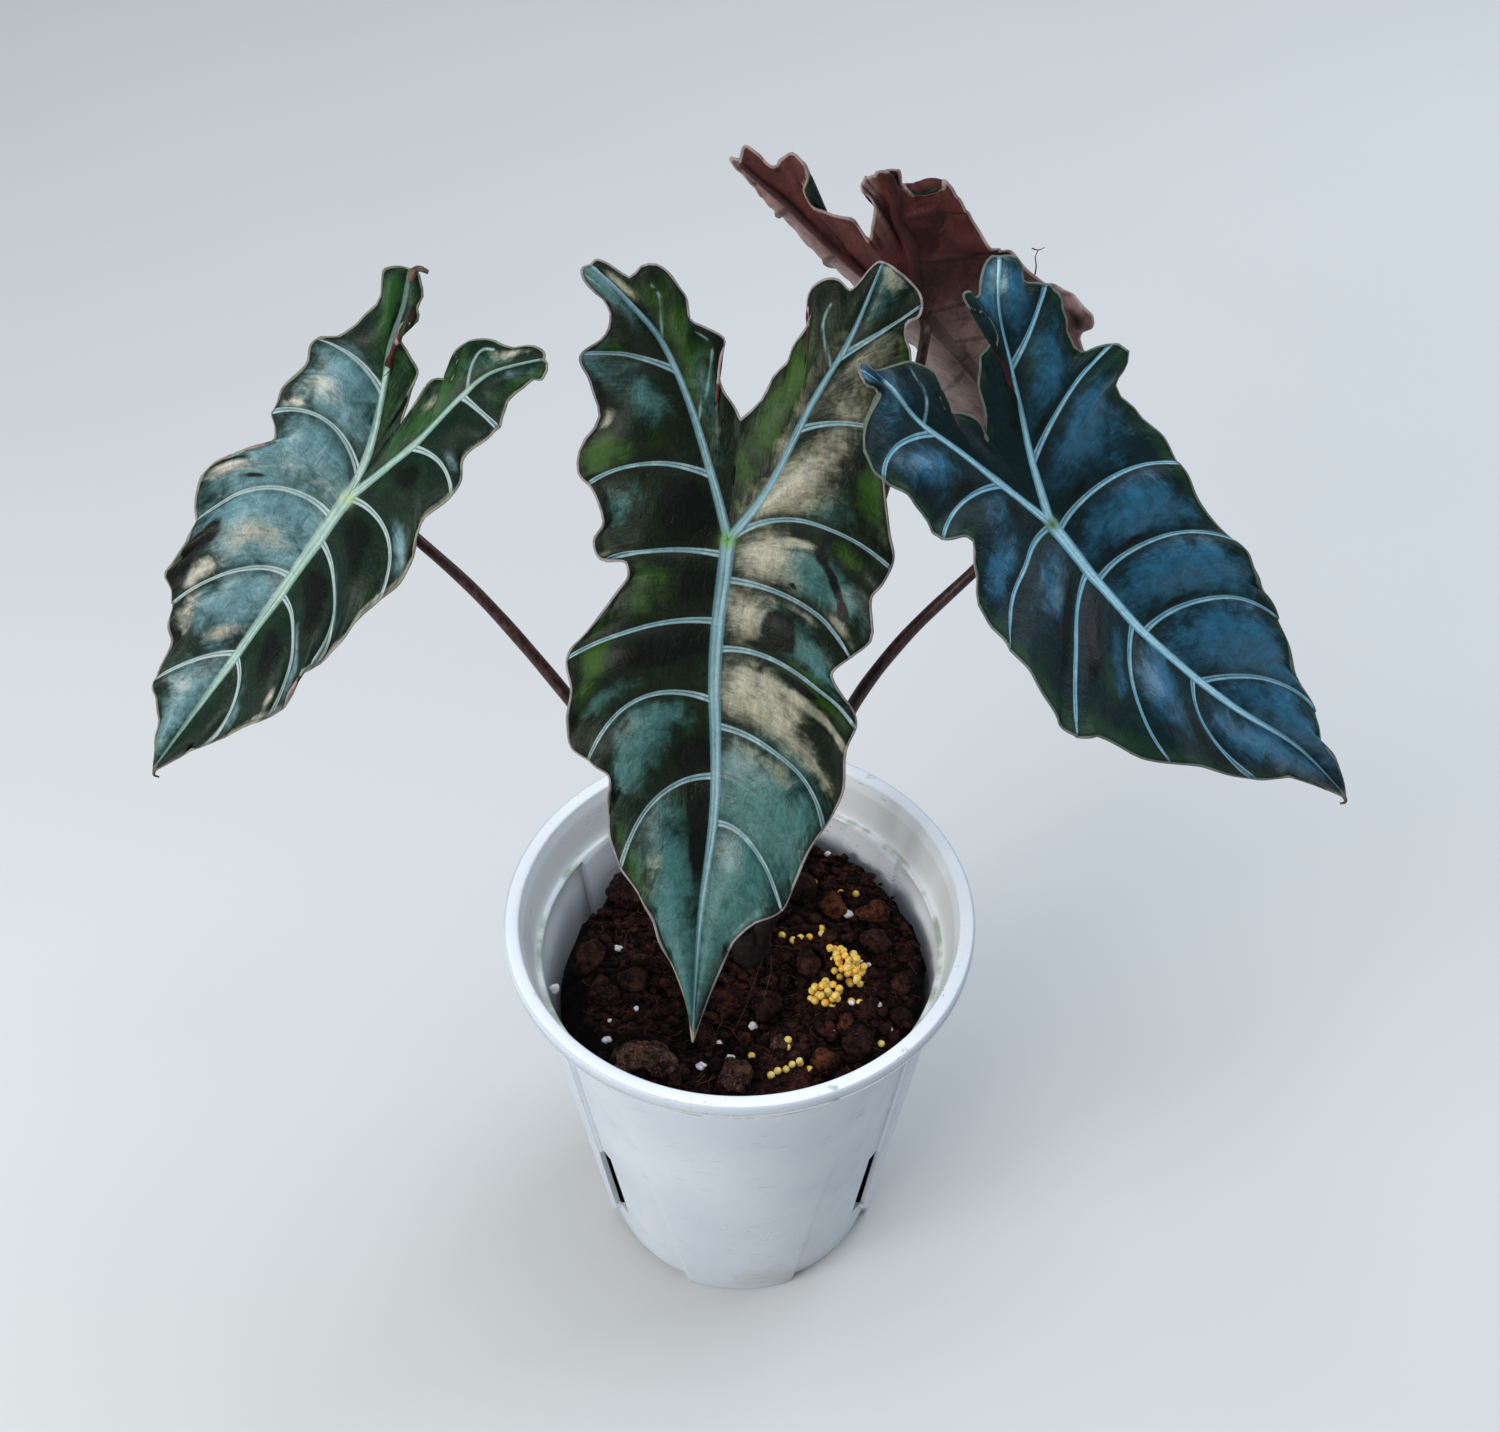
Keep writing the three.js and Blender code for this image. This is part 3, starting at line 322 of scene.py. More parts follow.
def cut(piece, shape):
    """Cuts the shapes in a bmesh out of the piece."""
    mesh = bpy.data.meshes.new("cutter")
    shape.to_mesh(mesh)
    shape.free()
    tool = bpy.data.objects.new("cutter", mesh)
    bpy.context.scene.collection.objects.link(tool)
    modifier = piece.modifiers.new("cut", "BOOLEAN")
    modifier.object = tool
    modifier.solver = "MANIFOLD"
    depsgraph = bpy.context.evaluated_depsgraph_get()
    result = bpy.data.meshes.new_from_object(piece.evaluated_get(depsgraph))
    piece.modifiers.clear()
    piece.data = result
    bpy.data.objects.remove(tool)


def pot_openings():
    """The four tall slots and the round drain holes in the floor."""
    shape = bmesh.new()
    middle = (SLOT_LOW + SLOT_HIGH) / 2
    width = body_radius(middle) * np.radians(SLOT_DEGREES)
    beside = SIDE_PANEL_HALF + SHARP_EDGE + SLOT_DEGREES / 2
    for angle in (beside, -beside, 180 + beside, 180 - beside):
        box = bmesh.ops.create_cube(shape, size=1)["verts"]
        bmesh.ops.scale(shape, vec=(SLOT_CUT, width, SLOT_HIGH - SLOT_LOW), verts=box)
        for corner in box:
            if corner.co.x < 0:
                corner.co.y *= SLOT_FLARE[0]
                corner.co.z *= SLOT_FLARE[1]
        bmesh.ops.translate(shape, vec=(body_radius(middle), 0, middle), verts=box)
        bmesh.ops.rotate(shape, matrix=Matrix.Rotation(np.radians(angle), 3, "Z"), verts=box)
    size = {"radius1": DRAIN_RADIUS, "radius2": DRAIN_RADIUS, "depth": DRAIN_CUT}
    for angle in np.radians(np.arange(DRAIN_COUNT) * 360 / DRAIN_COUNT):
        drain = bmesh.ops.create_cone(shape, cap_ends=True, segments=32, **size)["verts"]
        where = (DRAIN_RING * np.cos(angle), DRAIN_RING * np.sin(angle), 0)
        bmesh.ops.translate(shape, vec=where, verts=drain)
    return shape


def pot_finish():
    """White plastic with painted light on its inside walls, a grey stain on the collar, earth at the foot,
    flecks, scuffs, and algae along the ledge."""
    look = finish("white moulded plastic", ink(190, 200, 208), 0.36, Specular_IOR_Level=0.45)
    height = add(look, "SeparateXYZ", {0: place(look)}).outputs[2]
    cloudy = span(look, noise(look, 22, 3), 0.35, 0.7)
    colour = layer(look, cloudy, ink(189, 198, 208), ink(200, 207, 214))
    away = add(look, "VectorMath", {0: place(look, (1, 1, 0))}, operation="NORMALIZE").outputs[0]
    facing = {0: away, 1: add(look, "TexCoord").outputs["Normal"]}
    outside = add(look, "VectorMath", facing, operation="DOT_PRODUCT").outputs["Value"]
    # Painted light: the inside walls get a lighter white than the outside.
    painted_light_inside = layer(look, cloudy, ink(236, 242, 246), ink(244, 248, 250))
    colour = layer(look, span(look, outside, 0.5, 0.1), colour, painted_light_inside)
    collar = times(look, span(look, height, *STAIN_START), span(look, height, *STAIN_END))
    colour = layer(look, times(look, collar, 0.5), colour, ink(214, 214, 209))
    foot = times(look, span(look, height, 0.03, 0.0), span(look, noise(look, 60, 4), 0.45, 0.7))
    colour = layer(look, times(look, foot, 0.5), colour, ink(176, 165, 150))
    flecks = times(look, specks(look, 420, 0.13), span(look, noise(look, 30, 2), 0.5, 0.62))
    colour = layer(look, times(look, flecks, 0.75), colour, ink(92, 82, 74))
    scuffs = span(look, noise(look, 1, 3, place(look, (110, 110, 1500))), 0.62, 0.68)
    scuffs = times(look, scuffs, span(look, noise(look, 60, 1), 0.54, 0.6))
    colour = layer(look, times(look, scuffs, 0.45), colour, ink(104, 110, 118))
    ledge = maths(look, "ABSOLUTE", maths(look, "SUBTRACT", height, LEDGE_HEIGHT - 0.0002))
    algae = times(look, span(look, ledge, 0.0011, 0.0002), span(look, noise(look, 90, 3), 0.4, 0.62))
    colour = layer(look, times(look, algae, 0.7), colour, ink(120, 148, 100))
    feed(look, "Base Color", colour)
    feed(look, "Roughness", span(look, noise(look, 120, 3), 0.3, 0.7, 0.3, 0.46))
    fine = bump(look, noise(look, 900, 2), 0.00003, 0.5)
    feed(look, "Normal", bump(look, noise(look, 45, 2), 0.0003, 0.35, fine))
    return look


pot_points, pot_columns = wall_rings(pot_profile())
pot_faces = tube_faces(len(pot_points) // pot_columns, pot_columns)
pot = mesh_piece("pot_body", pot_points, pot_faces, pot_finish())
cut(pot, pot_openings())
pot.data.set_sharp_from_angle(angle=np.radians(SHARP_FROM))
settle(pot, "pot_plastic", "pot")

# THE SOIL
# A damp mix of dark coir and peat, filled in to 25 mm below the rim. Its top is loose: round clods
# with deep gaps between them, and finer crumbs on those. It has sunk away from the wall at the left.

MM = 0.001
SOIL_BASE = 0.1186                 # level of the gaps between the clods
SOIL_DOME = 0.0025
SOIL_RADIUS = 0.060
SOIL_EDGE = 0.116
SOIL_CORE = 0.011                  # radius of the innermost points on its underside
SOIL_CLEAR = 0.0019                # room between its top's edge and the wall
SUNK_ARC = (118, 232)              # degrees between which it has drawn back further
SUNK_DEPTH = 0.0062
EDGE_DROP = 0.005
SOIL_COLUMNS, SOIL_RINGS = 420, 104
CLOD_SIZE, CLOD_HEIGHT = 0.011, 0.0042
CRUMB_SIZE, CRUMB_HEIGHT = 0.0048, 0.0016
GRIT = ((0.0031, 0.0014, 5), (0.0016, 0.001, 2))     # size, height and seed of the finer lumps
GAP_LEVEL, GAP_DEPTH = 0.0048, 0.0020    # below this the soil lies in deep shade
GAP_SHADE, FOOT_SHADE = 0.95, 0.85
FOOT_REACH, FOOT_FADE = 1.5, 0.4   # the shade round a clod's foot, in half widths of the clod
PRILL_SEAT = 0.1245                # height of the level patches under the fertiliser
LEVEL_EDGE = 0.006
# Clods as x, y and half width in mm, and the finish
CLODS = [
    (-1, -45, 6.4, "bark"), (-33, -38, 7.6, "bark"), (-25, -41, 6.0, "bark"), (-20, -44, 4.6, "dark"),
    (45, 20, 5.6, "rust"), (26, -40, 4.6, "rust"), (38, -32, 5.5, "dark"), (14, 42, 7, "dark"),
    (-38, 28, 7, "dark"), (-50, 2, 6, "dark"), (-20, 20, 6.5, "dark"), (31, 22, 5, "rust"),
    (53, -8, 5, "dark"), (13, -34, 3.6, "bark"), (2, -31, 3.0, "rust"), (34, -25, 3.4, "rust"),
    (-44, -12, 5.5, "dark"), (9, -20, 5.0, "dark"), (44, 8, 5.5, "dark"), (20, 30, 6, "dark"),
    (-12, -30, 5.0, "dark"), (-34, -8, 5.0, "dark"), (22, -2, 4.5, "dark"), (52, -22, 4.0, "dark"),
]
# Places of the fertiliser, as x, y and the radius of the level patch that it lies on
BEDS = {
    "rear_heap": (34, -4, 8),
    "front_heap": (27.5, -16, 7),
    "front_string": (14, -44, 6),
    "near_string": (15.5, -33, 4),
    "rear_string": (20.5, 8.5, 5),
}


def lumps(x, y, size, seed):
    """Rounded lumps with gaps between them, as heights of 0 to 1."""
    column, row = np.floor(x / size), np.floor(y / size)
    best = np.full(np.shape(x), 9.0)
    level = np.zeros(np.shape(x))
    for i in (-1, 0, 1):
        for j in (-1, 0, 1):
            phase = (column + i) * 127.1 + (row + j) * 311.7 + seed
            draw = [np.sin(phase + 74.7 * k) * 43758.5453 % 1 for k in range(3)]
            across = column + i + 0.15 + 0.7 * draw[0] - x / size
            along = row + j + 0.15 + 0.7 * draw[1] - y / size
            far = np.hypot(across, along)
            nearer = far < best
            best = np.where(nearer, far, best)
            level = np.where(nearer, draw[2], level)
    return np.sqrt(np.maximum(0, 1 - best ** 2)) * (0.45 + 0.55 * level)


def ground(x, y):
    """Height of the soil."""
    z = SOIL_BASE + SOIL_DOME * (1 - (x ** 2 + y ** 2) / SOIL_RADIUS ** 2)
    z = z + CLOD_HEIGHT * lumps(x, y, CLOD_SIZE, 3) + CRUMB_HEIGHT * lumps(x, y, CRUMB_SIZE, 8)
    for bed_x, bed_y, level in BEDS.values():
        far = np.hypot(x - bed_x * MM, y - bed_y * MM)
        near = np.clip((level * MM + LEVEL_EDGE - far) / LEVEL_EDGE, 0, 1)
        z = np.where(near > 0, np.minimum(PRILL_SEAT, mix(z, PRILL_SEAT, near)), z)
    return z


def rough_ground(x, y):
    """Height of the soil with its grit."""
    z = ground(x, y)
    for size, height, seed in GRIT:
        z = z + height * (lumps(x, y, size, seed) - 0.5)
    return z


def shade_at(x, y, z):
    """How much painted shade a place gets, 0 to 1: down in a gap, or at the foot of a big clod."""
    level = SOIL_BASE + SOIL_DOME * (1 - (x ** 2 + y ** 2) / SOIL_RADIUS ** 2) + GAP_LEVEL
    shade = GAP_SHADE * smooth((level - z) / GAP_DEPTH)
    for clod_x, clod_y, half, _ in CLODS:
        far = np.hypot(x - clod_x * MM, y - clod_y * MM) / (half * MM)
        shade = np.maximum(shade, FOOT_SHADE * smooth((FOOT_REACH - far) / FOOT_FADE))
    return shade


def soil_finish(name, dark, light, fibre):
    """Crumbly earth of two shades with pale bits, black and damp spots, and painted shade in the gaps."""
    look = finish(name, dark, 0.9, Specular_IOR_Level=0.12)
    clods = span(look, noise(look, 160, 6, roughness=0.65), 0.38, 0.66)
    colour = layer(look, clods, dark, light)
    grains = span(look, noise(look, 1300, 3, roughness=0.7), 0.52, 0.72)
    colour = layer(look, times(look, grains, 0.8), colour, fibre)
    black = span(look, noise(look, 420, 4), 0.54, 0.36)
    colour = layer(look, times(look, black, 0.8), colour, ink(13, 8, 8))
    damp = span(look, noise(look, 60, 3), 0.45, 0.6)
    colour = layer(look, times(look, damp, 0.5), colour, ink(15, 9, 10))
    # Painted shade, nearly black, by the stored gap numbers.
    colour = layer(look, reading(look, "gap"), colour, ink(7, 4, 4))
    feed(look, "Base Color", colour)
    fine = bump(look, noise(look, 2600, 3), 0.0003, 1.0)
    feed(look, "Normal", bump(look, noise(look, 700, 5, roughness=0.75), 0.0014, 1.0, fine))
    return look


def reading(look, name):
    """A number that is stored on the mesh's points."""
    return add(look, "Attribute", attribute_name=name, attribute_type="GEOMETRY").outputs["Fac"]


def store(piece, **values):
    """Keeps numbers on the mesh's points for the finish to read."""
    for name, numbers in values.items():
        attribute = piece.data.attributes.new(name, "FLOAT", "POINT")
        attribute.data.foreach_set("value", np.asarray(numbers, np.float32))


def inner_reach(angle):
    """How far the soil reaches from the pot's axis. It has drawn back from the wall at the left."""
    turn = np.degrees(angle) % 360
    sunk = smooth((turn - SUNK_ARC[0]) / 20) * smooth((SUNK_ARC[1] - turn) / 30)
    ragged = 0.0008 * np.sin(9 * angle) + 0.0009 * np.sin(23 * angle + 1) + 0.0006 * np.sin(41 * angle)
    return body_radius(SOIL_EDGE) - WALL - SOIL_CLEAR - SUNK_DEPTH * sunk + ragged * (0.5 + sunk)


def make_soil():
    """Rings of points from the middle of the underside, up the outside, and in over the top."""
    angle = np.linspace(0, 2 * np.pi, SOIL_COLUMNS, endpoint=False)
    reach = inner_reach(angle)

    def ring(r, z):
        return np.stack([r * np.cos(angle), r * np.sin(angle), np.broadcast_to(z, angle.shape)], -1)

    heights = (FLOOR_TOP + 0.0004, 0.03, 0.06, 0.09, SOIL_EDGE - 0.008)
    rings = [ring(SOIL_CORE, heights[0])]
    rings += [ring(body_radius(z) - WALL - SIDE_RECESS - 0.0004, z) for z in heights]
    for k in range(SOIL_RINGS):
        share = 1 - (k / SOIL_RINGS) ** 1.15
        x, y = reach * share * np.cos(angle), reach * share * np.sin(angle)
        rings.append(ring(reach * share, rough_ground(x, y) - EDGE_DROP * smooth((share - 0.93) / 0.07)))
    points = np.concatenate(rings)
    look = soil_finish("damp potting mix", ink(28, 16, 15), ink(86, 46, 37), ink(134, 84, 64))
    bed = mesh_piece("soil_bed", points, tube_faces(len(rings), SOIL_COLUMNS), look)
    # The gap numbers are painted shade: darker down in the gaps and round the big clods' feet.
    store(bed, gap=shade_at(*points.T))
    return bed


settle(make_soil(), "soil", "soil")

# CLODS, CRUMBS AND FIBRES
# Loose bits on the soil: lumps of coir and bark, many small crumbs, and threads of coir and hair
# roots. They lie where they fell.

CLOD_FLATNESS = (0.58, 0.74)
CLOD_LIFT = 0.2                    # how high its middle lies above the soil, in half widths
CRUMB_COUNT = 1900
CRUMB_HALF = 1.7                   # half width of a crumb, in mm, before it is made smaller or larger
FIBRE_COUNT = 420
FIBRE_LENGTH = (2.5, 9)
FIBRE_RADIUS = (0.06, 0.13)
ROOT_RADIUS = 0.1
# Hair roots as points of x, y and height above the soil, in mm
ROOTS = [
    [(8, 2, 1), (5, -12, 6), (2, -22, 4), (-3, -31, 1)],
    [(10, 4, 2), (10, -10, 7), (6, -24, 3), (4, -33, 0.5)],
    [(39, -12, 1), (42, -17, 3.5), (40, -23, 2), (36, -25, 1)],
]


def ball(subdivisions):
    """Points and faces of a round ball of radius 1."""
    shape = bmesh.new()
    bmesh.ops.create_icosphere(shape, subdivisions=subdivisions, radius=1)
    points = np.array([v.co[:] for v in shape.verts])
    faces = [[v.index for v in f.verts] for f in shape.faces]
    shape.free()
    return points, faces


def joined(shapes):
    """One list of points and one of faces from many shapes."""
    points, faces, start = [], [], 0
    for shape_points, shape_faces in shapes:
        points.append(shape_points)
        faces += [[i + start for i in face] for face in shape_faces]
        start += len(shape_points)
    return np.concatenate(points), faces


def turned(points, random):
    """The points, turned any way up."""
    axes = np.linalg.qr(random.normal(size=(3, 3)))[0]
    return points @ axes


def uneven(points, amount, random):
    """A ball pushed in and out into a rough lump."""
    push = np.zeros(len(points))
    for scale in (1.6, 3.2, 6.5, 12):
        for _ in range(3):
            way = random.normal(size=3)
            way *= 1.7 * scale / np.linalg.norm(way)
            push += np.sin(points @ way + random.uniform(0, 6.3)) / scale ** 0.7
    return points * (1 + amount * push)[:, None]


def smooth_line(points):
    """A function that gives the place at t, 0 to 1, on a smooth curve through the points."""
    knots = np.array(points, float)
    knots = np.vstack([2 * knots[0] - knots[1], knots, 2 * knots[-1] - knots[-2]])

    def at(t):
        t = np.clip(np.asarray(t, float), 0, 1) * (len(knots) - 3)
        i = np.minimum(t.astype(int), len(knots) - 4)
        a, b, c, d = (knots[i + k] for k in range(4))
        ab, bc, cd = (np.linalg.norm(way, axis=-1)[..., None] ** 0.5 for way in (b - a, c - b, d - c))
        leave = ((b - a) / ab - (c - a) / (ab + bc) + (c - b) / bc) * bc
        arrive = ((c - b) / bc - (d - b) / (bc + cd) + (d - c) / cd) * bc
        x = (t - i)[..., None]
        square = 3 * (c - b) - 2 * leave - arrive
        cube = 2 * (b - c) + leave + arrive
        return b + x * (leave + x * (square + x * cube))

    return at


def bar(line, radius, steps, sides):
    """A round bar with closed ends along a line. radius(t) is its radius along the way."""
    t = np.linspace(0, 1, steps + 1)
    middle = line(t)
    ahead = np.gradient(middle, axis=0)
    ahead /= np.linalg.norm(ahead, axis=1)[:, None]
    side = np.cross(ahead[0], (0.3, 0.9, 0.2))
    a = np.linspace(0, 2 * np.pi, sides, endpoint=False)
    points = []
    for p, forward, r in zip(middle, ahead, radius(t)):
        side = side - forward * (side @ forward)
        side /= np.linalg.norm(side)
        other = np.cross(forward, side)
        points.append(p + r * (np.cos(a)[:, None] * side + np.sin(a)[:, None] * other))
    return np.concatenate(points), tube_faces(steps + 1, sides)


def thinning(radius, amount=0.5):
    """A bar's radius that shrinks along the way, by this share at its end."""
    return lambda t: radius * (1 - amount * t)


def clod_shapes(kind, random):
    """The clods of one finish, each turned at random and half sunk in."""
    points, faces = ball(4)
    shapes = []
    for x, y, half, finish_name in CLODS:
        if finish_name == kind:
            lump = uneven(turned(points, random), 0.13, random)
            size = (half, half * random.uniform(0.75, 1.0), half * random.uniform(*CLOD_FLATNESS))
            lump = lump * size * MM @ np.array(Matrix.Rotation(random.uniform(0, 6.3), 3, "Z"))
            z = ground(x * MM, y * MM) + half * CLOD_LIFT * MM
            shapes.append((lump + (x * MM, y * MM, z), faces))
    return shapes


def on_soil(random):
    """A random place on the soil, as x and y."""
    angle = random.uniform(0, 2 * np.pi)
    r = inner_reach(angle) * np.sqrt(random.uniform(0, 1)) * 0.96
    return r * np.cos(angle), r * np.sin(angle)


def crumb_shapes(random):
    """Small crumbs strewn over the soil."""
    points, faces = ball(2)
    shapes = []
    for _ in range(CRUMB_COUNT):
        x, y = on_soil(random)
        half = random.uniform(0.45, 1.15) ** 2.5 * CRUMB_HALF * MM
        crumb = uneven(turned(points, random), 0.16, random)
        crumb = crumb * (half, half * random.uniform(0.6, 1), half * random.uniform(0.5, 0.9))
        shapes.append((crumb + (x, y, rough_ground(x, y) + half * 0.3), faces))
    return shapes


def fibre_shapes(random):
    """Threads of coir strewn over the soil, and the hair roots."""
    shapes = []
    for _ in range(FIBRE_COUNT):
        x, y = on_soil(random)
        heading = random.uniform(0, 6.3)
        length = random.uniform(*FIBRE_LENGTH) * MM
        route = []
        for t in (-1, -0.35, 0.3, 1):
            px = x + t * length / 2 * np.cos(heading) + random.normal() * 0.0006
            py = y + t * length / 2 * np.sin(heading) + random.normal() * 0.0006
            route.append((px, py, rough_ground(px, py) + random.uniform(0.0001, 0.0013)))
        shapes.append(bar(smooth_line(route), thinning(random.uniform(*FIBRE_RADIUS) * MM), 8, 4))
    for root in ROOTS:
        route = [(x * MM, y * MM, ground(x * MM, y * MM) + lift * MM) for x, y, lift in root]
        shapes.append(bar(smooth_line(route), thinning(ROOT_RADIUS * MM), 24, 5))
    return shapes


scatter = np.random.default_rng(4)
# Each kind's dark and light shade, and its pale bits
CLOD_FINISHES = {
    "dark": (ink(31, 19, 18), ink(76, 45, 37), ink(120, 77, 61)),
    "bark": (ink(66, 40, 34), ink(120, 84, 68), ink(182, 150, 130)),
    "rust": (ink(56, 28, 19), ink(122, 68, 42), ink(150, 96, 60)),
}
for kind, colours in CLOD_FINISHES.items():
    clod_look = soil_finish(kind + " clod", *colours)
    settle(mesh_piece("clods_" + kind, *joined(clod_shapes(kind, scatter)), clod_look), "soil")
crumb_look = soil_finish("soil crumb", ink(31, 18, 17), ink(80, 46, 38), ink(124, 80, 62))
crumb_points, crumb_faces = joined(crumb_shapes(scatter))
crumbs = mesh_piece("soil_crumbs", crumb_points, crumb_faces, crumb_look)
# The crumbs get the same painted shade as the soil where they lie.
store(crumbs, gap=shade_at(*crumb_points.T))
settle(crumbs, "soil")
fibre_look = finish("coir thread", ink(110, 74, 50), 0.8)
faded = span(fibre_look, noise(fibre_look, 90, 2), 0.4, 0.7)
feed(fibre_look, "Base Color", layer(fibre_look, faded, ink(66, 32, 22), ink(118, 72, 50)))
settle(mesh_piece("coir_fibres", *joined(fibre_shapes(scatter)), fibre_look), "soil")

# PERLITE
# Puffed white volcanic grains, 1 to 3 mm across, a few of them loose on top.

# Grains as x, y and half width in mm
PERLITE = [
    (36, 19, 1.7), (-6, -33, 1.0), (-40, 5, 1.5), (-33, -20, 0.9), (-41, -25, 1.0), (-42, -31, 1.4),
    (44, -18, 1.7), (30, -29, 1.2), (39, -1, 1.1), (42, -2, 0.9), (-60, -10, 1.6), (30, 47, 1.2),
    (-12, -42, 1.5), (4, -27, 1.5), (-3, -38, 1.4), (-37, -33, 0.8), (25, -11, 0.8), (36, -18, 1.0),
    (48, -27, 1.0), (-24, 38, 1.3), (10, 36, 1.0), (-44, 20, 1.1), (38, -29, 0.9), (-20, -36, 0.7),
]


def perlite_finish():
    """Chalky white, a little stained, with fine pores."""
    look = finish("puffed perlite", ink(214, 212, 218), 0.85)
    stained = span(look, noise(look, 900, 3), 0.4, 0.65)
    feed(look, "Base Color", layer(look, stained, ink(214, 208, 208), ink(250, 250, 253)))
    feed(look, "Normal", bump(look, noise(look, 2400, 3), 0.0002, 0.9))
    return look


def perlite_shapes(random):
    """The perlite grains, each half sunk in."""
    points, faces = ball(3)
    shapes = []
    for x, y, half in PERLITE:
        grain = uneven(turned(points, random), 0.14, random) * (half, half * 0.85, half * 0.8) * MM
        shapes.append((grain + (x * MM, y * MM, rough_ground(x * MM, y * MM) + half * 0.5 * MM), faces))
    return shapes


settle(mesh_piece("perlite_grains", *joined(perlite_shapes(scatter)), perlite_finish()), None)

# FERTILISER PRILLS
# Slow-release beads, about 2.5 mm across with a glossy yellow resin coat. They were poured on in two
# small heaps, and a few have rolled away.

PRILL_RADIUS = 1.25 * MM
PRILL_SIZES = (0.88, 1.06)         # smallest and largest, as shares of that
PRILL_REST = 0.85                  # how high a bead's middle lies above the patch, in radii
ROLLS = 12                         # places that a bead tries before it rests
ROLL_SPREAD = 0.22                 # how far a bead strays from its place, in mm
# For each bed the ends of the line that the beads were poured along, how far they lie from it, in
# mm, and how many there are
HEAPS = {
    "rear_heap": [((30, 3), (32.5, -1), 1.6, 9), ((33.5, -3), (37.5, -9), 3.4, 34)],
    "front_heap": [((25.5, -16), (30, -16.5), 3.2, 24)],
    "front_string": [((9.8, -45.8), (18.8, -42.2), 0, 5)],
    "near_string": [((15, -35.6), (16, -30.2), 0, 3)],
    "rear_string": [((17.5, 8), (23, 9), 0, 3)],
}
LOOSE_PRILLS = [
    (25, 34), (39, 28), (14, 10), (27, 13), (27, 10.8), (36, -17), (38.6, -17.6), (4, -38), (45, -32),
    (23, -16), (19, -41), (22, -43), (38, -9), (40, -8), (34, 29),
]


def prill_finish():
    """Yellow resin in two shades, with dust here and there."""
    look = finish("yellow resin coat", ink(240, 196, 96), 0.3, Coat_Weight=0.3, Coat_Roughness=0.2)
    patch = span(look, noise(look, 260, 2), 0.35, 0.65)
    colour = layer(look, patch, ink(250, 196, 70), ink(255, 228, 136))
    dusty = span(look, noise(look, 1500, 3), 0.56, 0.7)
    feed(look, "Base Color", layer(look, times(look, dusty, 0.25), colour, ink(190, 140, 70)))
    feed(look, "Normal", bump(look, noise(look, 1100, 2), 0.0001, 0.5))
    return look


def heap(places, random):
    """Beads that drop one by one, roll to the lowest place nearby and rest on those below."""
    beads = []
    for start, end, reach, count in places:
        for i in range(count):
            tries = []
            for _ in range(ROLLS if reach else 1):
                along = random.uniform() if reach else i / (count - 1)
                angle, far = random.uniform(0, 6.3), reach * np.sqrt(random.uniform())
                aside = np.array([far * np.cos(angle), far * np.sin(angle)])
                aside += random.normal(0, ROLL_SPREAD, 2)
                spot = (mix(np.array(start), np.array(end), along) + aside) * MM
                z = PRILL_SEAT + PRILL_REST * PRILL_RADIUS
                for other in beads:
                    gap = np.hypot(*(spot - other[:2]))
                    if gap < 2 * PRILL_RADIUS:
                        z = max(z, other[2] + np.sqrt(4 * PRILL_RADIUS ** 2 - gap ** 2))
                tries.append((z, *spot))
            z, x, y = min(tries)
            beads.append(np.array([x, y, z]))
    return beads


def bead_shapes(middles, random):
    """Round beads at these places, a little uneven in size."""
    points, faces = ball(3)
    return [(points * PRILL_RADIUS * random.uniform(*PRILL_SIZES) + middle, faces) for middle in middles]


prill_look = prill_finish()
for bed, places in HEAPS.items():
    middles = heap(places, scatter)
    beads = mesh_piece("beads_" + bed, *joined(bead_shapes(middles, scatter)), prill_look)
    settle(beads, "prill", "prills_" + bed)
loose = [(x * MM, y * MM, ground(x * MM, y * MM) + 0.5 * PRILL_RADIUS) for x, y in LOOSE_PRILLS]
settle(mesh_piece("beads_loose", *joined(bead_shapes(loose, scatter)), prill_look), "prill")

# THE CROWN
# The plant's short stem base, dark and ringed with old leaf scars. Each stalk grows out of it from a
# thick ridged sheath.

CROWN_PLACE = (3, 4)               # in mm, as all sizes of the plant are from here on
CROWN_RADIUS = 8
CROWN_FOOT = 102
CROWN_TOP = 136
CROWN_ROWS, CROWN_SIDES = 60, 48
SHEATH_FOOT = 124
SHEATH_BELOW, SHEATH_ABOVE = 9, 3  # how far it reaches below and above its stalk's first point
SHEATH_RADIUS, SHEATH_TAPER, SHEATH_RIDGE = 4.2, 1.25, 0.14
# The way of each stalk, from its sheath to short of its blade
STALKS = {
    "front": [(3, 8, 146), (5, 20, 195), (4, 30, 240), (1, 33, 268)],
    "left": [(-4, 5, 145), (-18, 8, 172), (-36, 11, 205), (-50, 15, 230), (-74, 22, 264.5), (-91, 28, 281),
             (-100, 34, 285.5)],
    "right": [(10, 5, 145), (17, 7, 172), (25, 9, 203), (34, 12, 231), (48, 16, 254), (66, 20, 275),
              (75, 25.5, 281.5)],
    "back": [(7, 11, 145), (14, 22, 180), (28, 40, 225), (40, 54, 265), (48, 60, 300), (51.5, 64, 314)],
}


def stem_finish(name, dark, light, spots, roughness, pits):
    """Streaked skin of two shades with small spots. pits is how deep its roughness goes."""
    look = finish(name, dark, roughness, Specular_IOR_Level=0.3)
    streaks = noise(look, 1, 3, place(look, (900, 900, 60)))
    colour = layer(look, span(look, streaks, 0.35, 0.68), dark, light)
    mottle = span(look, noise(look, 380, 3), 0.5, 0.68)
    colour = layer(look, times(look, mottle, 0.5), colour, spots)
    feed(look, "Base Color", colour)
    rough = bump(look, noise(look, 700, 4), pits, 0.8)
    feed(look, "Normal", bump(look, streaks, 0.0002, 0.5, rough))
    return look


